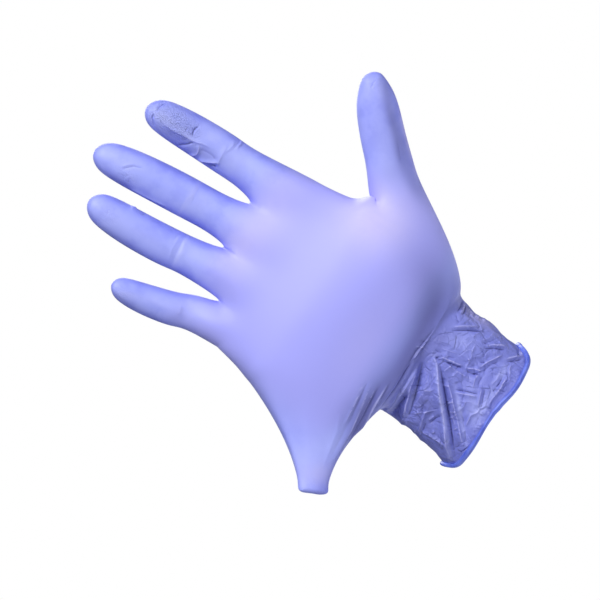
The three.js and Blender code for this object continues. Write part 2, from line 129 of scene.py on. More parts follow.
@dataclass(frozen=True)
class Net:
    """Net of four-sided faces, wound anticlockwise from outside, that may have open edges."""

    points: Array
    faces: Array

    @cached_property
    def _topology(self) -> tuple[Array, Array, Array]:
        """Pairs of points along edges, each face's four edges, and which edges are open.

        Returns:
            The pairs, the edges' numbers by face, and one flag for each edge.
        """
        count = len(self.points)
        ends = np.stack([self.faces, np.roll(self.faces, -1, axis=1)], axis=-1).reshape(-1, 2)
        keys, which = np.unique(ends.min(axis=1) * count + ends.max(axis=1), return_inverse=True)
        pairs = np.stack([keys // count, keys % count], axis=1)
        return pairs, which.reshape(-1, 4), np.bincount(which.ravel()) == 1

    @property
    def edges_of_faces(self) -> Array:
        """The four edges of each face, in the order of its corners."""
        return self._topology[1]

    @property
    def open_edges(self) -> Array:
        """Which edges have a face on one side only."""
        return self._topology[2]

    def bend(self, values: Array) -> Array:
        """How far each point's value lies from the mean of its neighbours' values.

        Args:
            values: One value for each point.

        Returns:
            One distance for each point.
        """
        pairs, _, _ = self._topology
        both = np.concatenate([pairs, pairs[:, ::-1]])
        count = len(self.points)
        total = np.bincount(both[:, 0], values[both[:, 1]], count)
        return np.abs(total / np.bincount(both[:, 0], minlength=count) - values)

    def blurred(self, values: Array, rounds: int) -> Array:
        """Values spread to the neighbours: the mean of a point and its neighbours' mean, several times.

        Args:
            values: One value for each point.
            rounds: How many times.

        Returns:
            The spread values.
        """
        pairs, _, _ = self._topology
        both = np.concatenate([pairs, pairs[:, ::-1]])
        count = len(self.points)
        valence = np.bincount(both[:, 0], minlength=count)
        for _ in range(rounds):
            values = (values + np.bincount(both[:, 0], values[both[:, 1]], count) / valence) / 2
        return values

    @cached_property
    def rim(self) -> Array:
        """The points on open edges."""
        pairs, _, is_open = self._topology
        return np.unique(pairs[is_open])

    def _sums(self, points: Array) -> tuple[Array, Array, Array, Array]:
        """Sums round each point: its sides, its faces' far corners, its open sides, and its valence.

        Args:
            points: Places to sum.

        Returns:
            The three sums and the valence, one row for each point.
        """
        count = len(points)
        pairs, _, is_open = self._topology
        both = np.concatenate([pairs, pairs[:, ::-1]])
        rim = np.concatenate([pairs[is_open], pairs[is_open][:, ::-1]])
        sides = gathered(count, both[:, 0], points[both[:, 1]])
        far = np.roll(self.faces, 2, axis=1).ravel()
        corners = gathered(count, self.faces.ravel(), points[far])
        along = gathered(count, rim[:, 0], points[rim[:, 1]])
        valence = np.bincount(both[:, 0], minlength=count)[:, None]
        return sides, corners, along, valence

    def smoothed(self, points: Array | None = None) -> Array:
        """Where each point ends up on the smooth surface.

        A point of valence n goes to (n n p + 4 sides + corners) / (n (n + 5)), and one on an open edge to
        (4 p + its two neighbours along the edge) / 6.

        Args:
            points: Points to use in place of the net's own.

        Returns:
            The places, one row for each point.
        """
        here = self.points if points is None else points
        sides, corners, along, n = self._sums(here)
        inner = (n * n * here + 4 * sides + corners) / (n * (n + 5))
        inner[self.rim] = (4 * here + along)[self.rim] / 6
        return inner

    def fitted(self, rounds: int) -> Net:
        """The net moved so that its smooth surface goes through its present points.

        Args:
            rounds: How often the remaining gap is taken up.

        Returns:
            The moved net.
        """
        here = self.points.copy()
        for _ in range(rounds):
            here += self.points - self.smoothed(here)
        return Net(here, self.faces)

    def refined(self) -> Net:
        """The same smooth surface with each face cut into four.

        Old points come first, then one point for each face and one for each edge. The four parts of face
        number f are faces 4 f to 4 f + 3.

        Returns:
            The finer net.
        """
        pairs, of_faces, is_open = self._topology
        count, faces = len(self.points), len(self.faces)
        sides, corners, along, n = self._sums(self.points)
        old = ((n - 1.75) * self.points + 1.5 * sides / n + 0.25 * corners / n) / n
        old[self.rim] = (6 * self.points + along)[self.rim] / 8
        centres = self.points[self.faces].mean(axis=1)
        ends = self.points[pairs].sum(axis=1)
        beside = gathered(len(pairs), of_faces.ravel(), np.repeat(centres, 4, axis=0))
        middles = np.where(is_open[:, None], ends / 2, (ends + beside) / 4)
        edge = count + faces + of_faces
        centre = np.repeat(count + np.arange(faces)[:, None], 4, axis=1)
        parts = np.stack([self.faces, edge, centre, np.roll(edge, 1, axis=1)], axis=-1)
        return Net(np.concatenate([old, centres, middles]), parts.reshape(-1, 4))

    def faired(self, hold: Array, rounds: int = 160) -> Net:
        """The net with its bending evened out.

        It minimises the sum of hold * (p - place)^2 and of (mean of the neighbours - p)^2 over the
        points p, by conjugate gradients.

        Args:
            hold: How firmly each point keeps its place.
            rounds: Steps of the solver.

        Returns:
            The net with its points moved.
        """
        pairs, _, _ = self._topology
        both = np.concatenate([pairs, pairs[:, ::-1]])
        count = len(self.points)
        valence = np.bincount(both[:, 0], minlength=count)[:, None]

        def sides(values: Array) -> Array:
            """Sum of each point's neighbours."""
            return gathered(count, both[:, 0], values[both[:, 1]])

        def pull(values: Array) -> Array:
            """Gradient of the sum that is minimised."""
            bend = sides(values) / valence - values
            return hold[:, None] * values + sides(bend / valence) - bend

        here = self.points.copy()
        rest = hold[:, None] * self.points - pull(here)
        step, size = rest.copy(), (rest * rest).sum()
        for _ in range(rounds):
            change = pull(step)
            share = size / (step * change).sum()
            here += share * step
            rest -= share * change
            last, size = size, (rest * rest).sum()
            step = rest + size / last * step
        return Net(here, self.faces)

    def normals(self, points: Array | None = None) -> Array:
        """Outward direction at each point, from the crossed diagonals of the faces round it.

        Args:
            points: Places to use in place of the net's own.

        Returns:
            One direction of length one for each point.
        """
        here = self.points if points is None else points
        a, b, c, d = (here[self.faces[:, k]] for k in range(4))
        across = np.repeat(np.cross(c - a, d - b), 4, axis=0)
        return unit(gathered(len(here), self.faces.ravel(), across))


class Cage:
    """Points and faces of the film's net while it is put together."""

    def __init__(self) -> None:
        """An empty net."""
        self._points: list[Array] = []
        self._faces: list[Array] = []
        self._count = 0

    def add(self, points: Array) -> Array:
        """Adds points and returns their numbers.

        Args:
            points: Their places, one row each.

        Returns:
            Their numbers in the net.
        """
        self._points.append(np.asarray(points, float))
        first, self._count = self._count, self._count + len(points)
        return np.arange(first, self._count)

    def place(self, numbers: Array) -> Array:
        """Where the numbered points are."""
        return np.concatenate(self._points)[numbers]

    def join(self, near: Array, far: Array, keep: Array | None = None) -> None:
        """Faces between two rings, the second one further along the tube.

        Args:
            near: Numbers of the first ring's points.
            far: Numbers of the second ring's points.
            keep: Which faces are made; the others leave a hole.
        """
        quads = np.stack([near, far, np.roll(far, -1), np.roll(near, -1)], axis=1)
        self._faces.append(quads if keep is None else quads[keep])

    def cap(self, ring: Array, middle: Array) -> None:
        """Closes a ring with two rows of faces on both sides of a line of new points.

        Args:
            ring: Numbers of the ring's points.
            middle: Places of the line's points, from the ring's first point to the one across from it.
        """
        line = np.concatenate([ring[:1], self.add(middle), ring[len(ring) // 2][None]])
        i = np.arange(len(line) - 1)
        self._faces.append(np.stack([line[i], line[i + 1], ring[i + 2], ring[i + 1]], axis=1))
        back = len(ring) - 1 - i
        self._faces.append(np.stack([line[i], ring[back], ring[back - 1], line[i + 1]], axis=1))

    def tube(self, root: Array, rings: Array, middle: Array) -> None:
        """A closed tube that stands on a loop of the net.

        Args:
            root: Numbers of the loop's points.
            rings: Places of the rings further along, one array each.
            middle: Places of the line of points that closes the end.
        """
        near = root
        for ring in rings:
            far = self.add(ring)
            self.join(near, far)
            near = far
        self.cap(near, middle)

    def net(self) -> Net:
        """The finished net, without the points that lie in its holes."""
        used, faces = np.unique(np.concatenate(self._faces), return_inverse=True)
        return Net(np.concatenate(self._points)[used], faces.reshape(-1, 4))


class CuffSection(NamedTuple):
    """Section of the cuff: place up it, share of the wrist's oval over the mouth's, width, front depth."""

    up: float
    wrist: float
    width: float
    front: float


class PalmSection(NamedTuple):
    """Section of the palm: place up it, its edges and heights as shares, how flat the film is pulled."""

    up: float
    thumb: float
    little: float
    front: float
    front_little: float
    back: float
    pulled: float


class Knuckle(NamedTuple):
    """Column of the row where the fingers begin: how far it lies below the first fork, and its depth."""

    drop: float
    depth: float


class Digit(NamedTuple):
    """Digit: length in mm, width as a share, splay in degrees, bow, taper and forward curl as shares."""

    length: float
    width: float
    splay: float
    bow: float
    taper: float
    curl: float


class DigitSection(NamedTuple):
    """Section of a digit: place along it, and width and thickness as shares of the digit's."""

    along: float
    width: float
    thickness: float


@dataclass
class HandForm:
    """Form of the hand-shaped film: tables of sections, and the net that goes through them."""

    cuff_length: float = 41
    mouth_width: float = 66.5
    mouth_depth: float = 54
    wrist_width: float = 67
    wrist_depth: float = 41
    wrist_shift: float = 5
    palm_length: float = 109
    palm_width: float = 92
    palm_front: float = 33
    palm_back: float = 15
    palm_edge: float = 5
    knuckle_depth: float = 26
    knuckle_slope: float = 23
    finger_width: float = 20.8
    thumb_width: float = 21.8
    finger_flatness: float = 0.87
    thumb_tip_flat: float = 7.4
    thumb_tip_crown: float = 1.1
    pull_end: tuple[float, float, float] = (-78, -27, 50)
    pull_end_width: float = 14
    pull_end_thickness: float = 6
    pull_end_lean: float = 25
    pull_taper: float = 1.6
    curl_power: float = 1.8
    cuff_squareness: float = 2.45
    palm_squareness: float = 2.6
    fit_rounds: int = 12
    columns: Array = field(
        default_factory=lambda: np.array([0.04, 0.14, 0.277, 0.41, 0.543, 0.665, 0.788, 0.89, 0.965])
    )
    # Height of the mouth's edge at the thumb's edge, at each palm column and at the little finger's edge,
    # and the same over the back.
    mouth_palm: Array = field(
        default_factory=lambda: np.array([5.6, -0.4, -2.9, -3.4, -1.9, -1.0, -1.2, -1.4, -1.1, 0.4, 5.2])
    )
    mouth_back: Array = field(
        default_factory=lambda: np.array([5.6, 1.6, -0.6, -1.6, -1.2, -0.4, -0.8, -1.5, -1.2, 1.2, 5.2])
    )
    cuff: tuple[CuffSection, ...] = (
        CuffSection(0, 0, 1, 1),
        CuffSection(0.17, 0.3, 0.97, 1),
        CuffSection(0.34, 0.5, 0.96, 1.01),
        CuffSection(0.51, 0.62, 0.96, 1.03),
        CuffSection(0.68, 0.74, 0.95, 1.05),
        CuffSection(0.85, 0.9, 0.97, 1.08),
        CuffSection(1, 1, 1, 1.13),
    )
    palm: tuple[PalmSection, ...] = (
        PalmSection(0.034, 0.95, 0.65, 0.7, 0.82, 1.24, 0.5),
        PalmSection(0.174, 1.235, 0.8, 0.78, 0.92, 1.14, 0.7),
        PalmSection(0.284, 1.22, 0.88, 0.97, 0.94, 1.07, 0.8),
        PalmSection(0.385, 1.19, 0.94, 1.03, 0.93, 1.02, 0.8),
        PalmSection(0.486, 1.17, 1.0, 0.96, 0.86, 1.0, 0.6),
        PalmSection(0.55, 1.24, 1.14, 0.89, 0.8, 0.98, 0.35),
        PalmSection(0.603, 1.115, 1.1, 0.8, 0.72, 0.965, 0.2),
        PalmSection(0.67, 1.05, 1.05, 0.7, 0.63, 0.95, 0.1),
        PalmSection(0.761, 1.02, 1.004, 0.56, 0.5, 0.9, 0),
    )
    knuckles: tuple[Knuckle, ...] = (
        Knuckle(0.6, 0.8),
        Knuckle(0.48, 1),
        Knuckle(0.3, 0.72),
        Knuckle(0.34, 1),
        Knuckle(0.38, 0.72),
        Knuckle(0.52, 1),
        Knuckle(0.8, 0.7),
        Knuckle(0.87, 0.95),
        Knuckle(1, 0.75),
    )
    knuckle_ends: tuple[float, float] = (0.61, 0.96)
    forks: tuple[float, ...] = (0, 0.04, 0.54)
    fingers: tuple[Digit, ...] = (
        Digit(66.5, 0.97, -1, 0.05, 0.07, 0.09),
        Digit(76.5, 0.96, -5.6, 0.04, 0.02, 0.06),
        Digit(66.5, 0.92, -4.8, -0.08, 0.03, 0.1),
        Digit(48.2, 0.86, -14.5, -0.1, 0.24, 0.16),
    )
    thumb: Digit = Digit(74.5, 0.98, 44, -0.06, 0.02, 0.1)
    finger_sections: tuple[DigitSection, ...] = (
        DigitSection(0.13, 1.01, 1.02),
        DigitSection(0.32, 1, 1),
        DigitSection(0.52, 1, 0.98),
        DigitSection(0.7, 0.965, 0.95),
        DigitSection(0.84, 0.875, 0.84),
        DigitSection(0.945, 0.63, 0.58),
    )
    thumb_sections: tuple[DigitSection, ...] = (
        DigitSection(0.2, 1.2, 1.36),
        DigitSection(0.38, 1.08, 1.12),
        DigitSection(0.56, 1.03, 1.02),
        DigitSection(0.72, 0.99, 0.96),
        DigitSection(0.85, 0.85, 0.82),
        DigitSection(0.945, 0.58, 0.56),
    )
    pull_sections: tuple[float, ...] = (0.2, 0.4, 0.6, 0.78, 0.92)
    thumb_root: tuple[int, int] = (1, 5)
    pull_root: tuple[int, int] = (0, 5)

    @property
    def little_edge(self) -> int:
        """Place in a ring of the little finger's edge; the thumb's edge is place 0."""
        return len(self.columns) + 1

    def _hand_ring(self, x: Array, palm: Array, back: Array, edge: float, heights: Array) -> Array:
        """Ring of twenty points: the thumb's edge, the palm, the little finger's edge, and the back.

        Args:
            x: Place across of the thumb's edge, each column and the little finger's edge.
            palm: How far each column of the palm lies along Y.
            back: How far each column of the back lies along Y.
            edge: How far forward of the middle the two edges lie.
            heights: Height of every point of the ring.

        Returns:
            The ring's points, one row each.
        """
        across = np.concatenate([x, x[-2:0:-1]])
        depth = np.concatenate([[-edge], palm, [-edge], back[::-1]])
        return np.stack([across, depth, heights], axis=1)

    def _roundness(self, squareness: float) -> Array:
        """Height of a rounded rectangle at each column: (1 - |2 s - 1| ** q) ** (1 / q)."""
        return (1 - np.abs(2 * self.columns - 1) ** squareness) ** (1 / squareness)

    def _cuff_ring(self, section: CuffSection) -> Array:
        """Ring of the cuff: an oval between the mouth's and the wrist's, whose edge fades with height.

        Args:
            section: Row of the cuff's table.

        Returns:
            The ring's points, one row each.
        """
        half = lerp(self.mouth_width, self.wrist_width, section.wrist) * section.width / 2
        depth = lerp(self.mouth_depth, self.wrist_depth, section.wrist) / 2
        middle = self.wrist_shift * section.up
        shares = np.concatenate([[0], self.columns, [1]])
        oval = depth * self._roundness(self.cuff_squareness)
        mouth = np.concatenate([self.mouth_palm, self.mouth_back[-2:0:-1]])
        heights = self.cuff_length * section.up + mouth * (1 - section.up) ** 2
        x = lerp(middle + half, middle - half, shares)
        return self._hand_ring(x, -oval * section.front, oval, 0, heights)

    def _palm_ring(self, section: PalmSection) -> Array:
        """Ring of the palm: two half rounded rectangles, the palm's one held flat where it is pulled.

        Args:
            section: Row of the palm's table.

        Returns:
            The ring's points, one row each.
        """
        shares = np.concatenate([[0], self.columns, [1]])
        ends = (section.thumb * self.palm_width / 2, -section.little * self.palm_width / 2)
        round_ = self._roundness(self.palm_squareness)
        rise = lerp(round_, 1, section.pulled * smoothstep(self.columns, 0.5, 1))
        front = lerp(section.front, section.front_little, self.columns) * self.palm_front
        palm = -self.palm_edge - (front - self.palm_edge) * rise
        back = -self.palm_edge + (section.back * self.palm_back + self.palm_edge) * round_
        heights = np.full(2 * self.little_edge, self.cuff_length + self.palm_length * section.up)
        return self._hand_ring(lerp(*ends, shares), palm, back, self.palm_edge, heights)

    def _knuckle_ring(self) -> Array:
        """Ring that the fingers begin on, which waves up to the forks and down to the fingers' middles.

        Returns:
            The ring's points, one row each.
        """
        top = self.cuff_length + self.palm_length
        x = self.palm_width * (0.5 - np.concatenate([[0], self.columns, [1]]))
        drop, depth = np.array(self.knuckles).T
        half = depth * self.knuckle_depth / 2
        shift = self.palm_edge / 4
        level = np.concatenate([[self.knuckle_ends[0]], drop, [self.knuckle_ends[1]], drop[::-1]])
        return self._hand_ring(x, -half - shift, half - shift, shift, top - level * self.knuckle_slope)

    def _fork_points(self) -> Array:
        """Points of the forks between the fingers.

        Returns:
            One row for each fork, from the index finger's side.
        """
        x = self.palm_width * (0.5 - self.columns[2:7:2])
        top = self.cuff_length + self.palm_length
        z = top - np.array(self.forks) * self.knuckle_slope
        return np.stack([x, np.full(3, -self.palm_edge / 4), z], axis=1)

    def _digit_rings(
        self,
        digit: Digit,
        width: float,
        sections: tuple[DigitSection, ...],
        base: Array,
        turns: Array,
        first_side: int,
    ) -> tuple[Array, Array, Array, Array]:
        """Ovals round a middle line that bows sideways and curls forward.

        Args:
            digit: The digit's row.
            width: Full width that its share counts from.
            sections: Sections along it.
            base: Middle of its root.
            turns: Angle of each point of a ring.
            first_side: 1 where a ring starts on the thumb's side and turns to the palm, otherwise -1.

        Returns:
            The rings, the tip, the direction along the digit and the one across it.
        """
        splay = np.radians(digit.splay)
        axis = np.array([np.sin(splay), 0, np.cos(splay)])
        across = np.array([np.cos(splay), 0, -np.sin(splay)])
        full = width * digit.width
        rows = np.array(sections + (DigitSection(1, 0, 0),))
        along = rows[:, :1]
        middle = base + axis * digit.length * along + across * digit.bow * full * np.sin(np.pi * along)
        middle = middle - np.array([0, 1, 0]) * digit.curl * digit.length * along**self.curl_power
        narrowing = (1 - digit.taper * along) * full / 2
        side = first_side * (narrowing * rows[:, 1:2]) * np.cos(turns)
        deep = -first_side * (narrowing * rows[:, 2:3] * self.finger_flatness) * np.sin(turns)
        rings = middle[:, None] + side[..., None] * across + deep[..., None] * np.array([0, 1, 0])
        return rings[:-1], middle[-1], axis, across

    def _add_finger(self, cage: Cage, ring: Array, forks: Array, number: int) -> None:
        """Finger on the points from one fork to the next, over the palm side and the back.

        Args:
            cage: Net that it goes into.
            ring: Numbers of the ring that the fingers begin on.
            forks: Numbers of the forks' points.
            number: Which finger, from 0 for the index finger.
        """
        palm, back = ring[1 : self.little_edge], ring[self.little_edge + 1 :][::-1]
        sides = np.concatenate([ring[:1], forks, ring[self.little_edge][None]])
        first = 2 * number
        left, right = sides[number], sides[number + 1]
        root = np.concatenate([[left], palm[first : first + 3], [right], back[first : first + 3][::-1]])
        ends = cage.place(np.array([left, right]))
        base = ends.mean(axis=0)
        base[2] = ends[:, 2].max()
        turns = 2 * np.pi * np.arange(len(root)) / len(root)
        digit = self.fingers[number]
        rings, tip, _, _ = self._digit_rings(digit, self.finger_width, self.finger_sections, base, turns, 1)
        cage.tube(root, rings, tip[None])

    def _root_loop(self, rings: list[Array], rows: tuple[int, int], edge: int) -> Array:
        """Points round the hole between two palm rings on one edge of the hand, from its upper middle.

        Args:
            rings: Numbers of the palm's rings.
            rows: First and last ring of the hole.
            edge: Place of the hole's middle in a ring.

        Returns:
            Numbers of the loop's points.
        """
        part = np.array(rings[rows[0] : rows[1] + 1])
        before, after = part[:, edge - 1], part[:, edge + 1]
        return np.concatenate([part[-1:, edge], before[::-1], part[:1, edge], after])

    def _add_thumb(self, cage: Cage, palm: list[Array]) -> None:
        """Thumb on the hole in the palm's thumb edge, with a broad flat tip.

        Args:
            cage: Net that it goes into.
            palm: Numbers of the palm's rings.
        """
        root = self._root_loop(palm, self.thumb_root, 0)
        base = cage.place(root).mean(axis=0)
        turns = 2 * np.pi * np.arange(len(root)) / len(root)
        rings, tip, axis, across = self._digit_rings(
            self.thumb, self.thumb_width, self.thumb_sections, base, turns, -1
        )
        side = np.array([-1.0, 0, 1])[:, None]
        line = tip + across * side * self.thumb_tip_flat / 2
        cage.tube(root, rings, line - axis * np.abs(side) * self.thumb_tip_crown)

    def _add_pulled_film(self, cage: Cage, palm: list[Array]) -> None:
        """Film pulled out of the palm's edge: rings that gather into a small flat closed end.

        Args:
            cage: Net that it goes into.
            palm: Numbers of the palm's rings.
        """
        root = self._root_loop(palm, self.pull_root, self.little_edge)
        start = cage.place(root)
        middle, end = start.mean(axis=0), np.array(self.pull_end)
        lean = np.radians(self.pull_end_lean)
        upward = np.array([-np.sin(lean), 0, np.cos(lean)])
        turns = 2 * np.pi * np.arange(len(root)) / len(root)
        flat = np.cos(turns)[:, None] * upward * self.pull_end_width / 2
        flat = flat - np.sin(turns)[:, None] * np.array([0, 1, 0]) * self.pull_end_thickness / 2
        along = np.array(self.pull_sections + (1,))[:, None, None]
        gather = 1 - (1 - along) ** self.pull_taper
        rings = lerp(start - middle, flat, gather) + lerp(middle, end, along)
        line = np.array([0.6, 0.2, -0.2, -0.6])[:, None] * upward * self.pull_end_width / 2
        cage.tube(root, rings, end + line - np.array([self.pull_end_thickness / 4, 0, 0]))

    def net(self) -> Net:
        """The net of the whole film, fitted so that its smooth surface goes through every section.

        Returns:
            The net.
        """
        cage = Cage()
        cuff = [cage.add(self._cuff_ring(section)) for section in self.cuff]
        palm = [cage.add(self._palm_ring(section)) for section in self.palm]
        ring = cage.add(self._knuckle_ring())
        forks = cage.add(self._fork_points())
        rings = [*cuff, *palm, ring]
        places = np.arange(len(ring))
        for row, (near, far) in enumerate(zip(rings, rings[1:])):
            keep = np.ones(len(ring), bool)
            for (low, high), edge in ((self.thumb_root, 0), (self.pull_root, self.little_edge)):
                if low <= row - len(cuff) < high:
                    keep &= (places != edge) & (places != (edge - 1) % len(ring))
            cage.join(near, far, keep)
        for number in range(len(self.fingers)):
            self._add_finger(cage, ring, forks, number)
        self._add_thumb(cage, palm)
        self._add_pulled_film(cage, palm)
        return cage.net().fitted(self.fit_rounds)


class Side(Enum):
    """Side of the glove that a crease lies on, with the sign of its outward Y."""

    PALM = -1
    BACK = 1


class Crease(NamedTuple):
    """Crease of the film: its path over X and Z in mm, height, width and how broad its right side is."""

    path: tuple[tuple[float, float], ...]
    height: float
    wide: float
    right: float = 1.0
    side: Side = Side.PALM


class Zone(NamedTuple):
    """Soft oval patch over X and Z: middle, half sizes in mm, turn in degrees and amount."""

    x: float
    z: float
    half_x: float
    half_z: float
    turn: float
    amount: float

    def cover(self, points: Array) -> Array:
        """Share of the patch at each point: exp(-(distance / half size) ** 2) times the amount.

        Args:
            points: Places on the film.

        Returns:
            One share for each point.
        """
        turn = np.radians(self.turn)
        right = points[:, 0] - self.x
        up = points[:, 2] - self.z
        u = (right * np.cos(turn) + up * np.sin(turn)) / self.half_x
        v = (-right * np.sin(turn) + up * np.cos(turn)) / self.half_z
        return self.amount * np.exp(-(u * u + v * v))


def crease_lift(points: Array, normals: Array, creases: Sequence[Crease]) -> Array:
    """How far creases lift the film: each is a ridge or groove with a sharp crest along its path.

    The lift is height * exp(-(distance / width) ** 1.25), fades towards both ends of the path, and works
    only where the film faces the crease's side.

    Args:
        points: Places on the film.
        normals: Outward directions there.
        creases: Rows of the crease table.

    Returns:
        One lift in mm for each point.
    """
    lift = np.zeros(len(points))
    for crease in creases:
        path = np.array(crease.path, float)
        reach = 5 * crease.wide * max(1.0, crease.right)
        low, high = path.min(axis=0) - reach, path.max(axis=0) + reach
        facing = smoothstep(normals[:, 1] * crease.side.value, 0.02, 0.3)
        inside = (points[:, 0] > low[0]) & (points[:, 0] < high[0]) & (facing > 0)
        near = np.flatnonzero(inside & (points[:, 2] > low[1]) & (points[:, 2] < high[1]))
        here = points[near][:, [0, 2]]
        runs = np.diff(path, axis=0)
        lengths = np.linalg.norm(runs, axis=1)
        away = here[:, None] - path[None, :-1]
        share = np.clip((away * runs).sum(axis=2) / lengths**2, 0, 1)
        gap = away - share[..., None] * runs
        distance = np.linalg.norm(gap, axis=2)
        closest = distance.argmin(axis=1)
        rows = np.arange(len(near))
        cross = (runs[:, 0] * away[..., 1] - runs[:, 1] * away[..., 0])[rows, closest]
        done = (np.concatenate([[0], np.cumsum(lengths)[:-1]]) + share * lengths)[rows, closest]
        width = crease.wide * np.where(cross < 0, crease.right, 1.0)
        total = lengths.sum()
        fade = smoothstep(np.minimum(done, total - done), -0.12 * total, 0.25 * total)
        crest = np.exp(-((distance[rows, closest] / width) ** 1.25))
        lift[near] += crease.height * fade * facing[near] * crest
    return lift


def beside_creases(points: Array, creases: Sequence[Crease], margin: float) -> Array:
    """Whether each point lies in the box over X and Z round any crease.

    Args:
        points: Places on the film.
        creases: Rows of a crease table.
        margin: How much wider than the crease's path the box is, in mm on each side.

    Returns:
        One flag for each point.
    """
    found = np.zeros(len(points), bool)
    for crease in creases:
        low = np.min(crease.path, axis=0) - margin
        high = np.max(crease.path, axis=0) + margin
        found |= ((points[:, [0, 2]] > low) & (points[:, [0, 2]] < high)).all(axis=1)
    return found


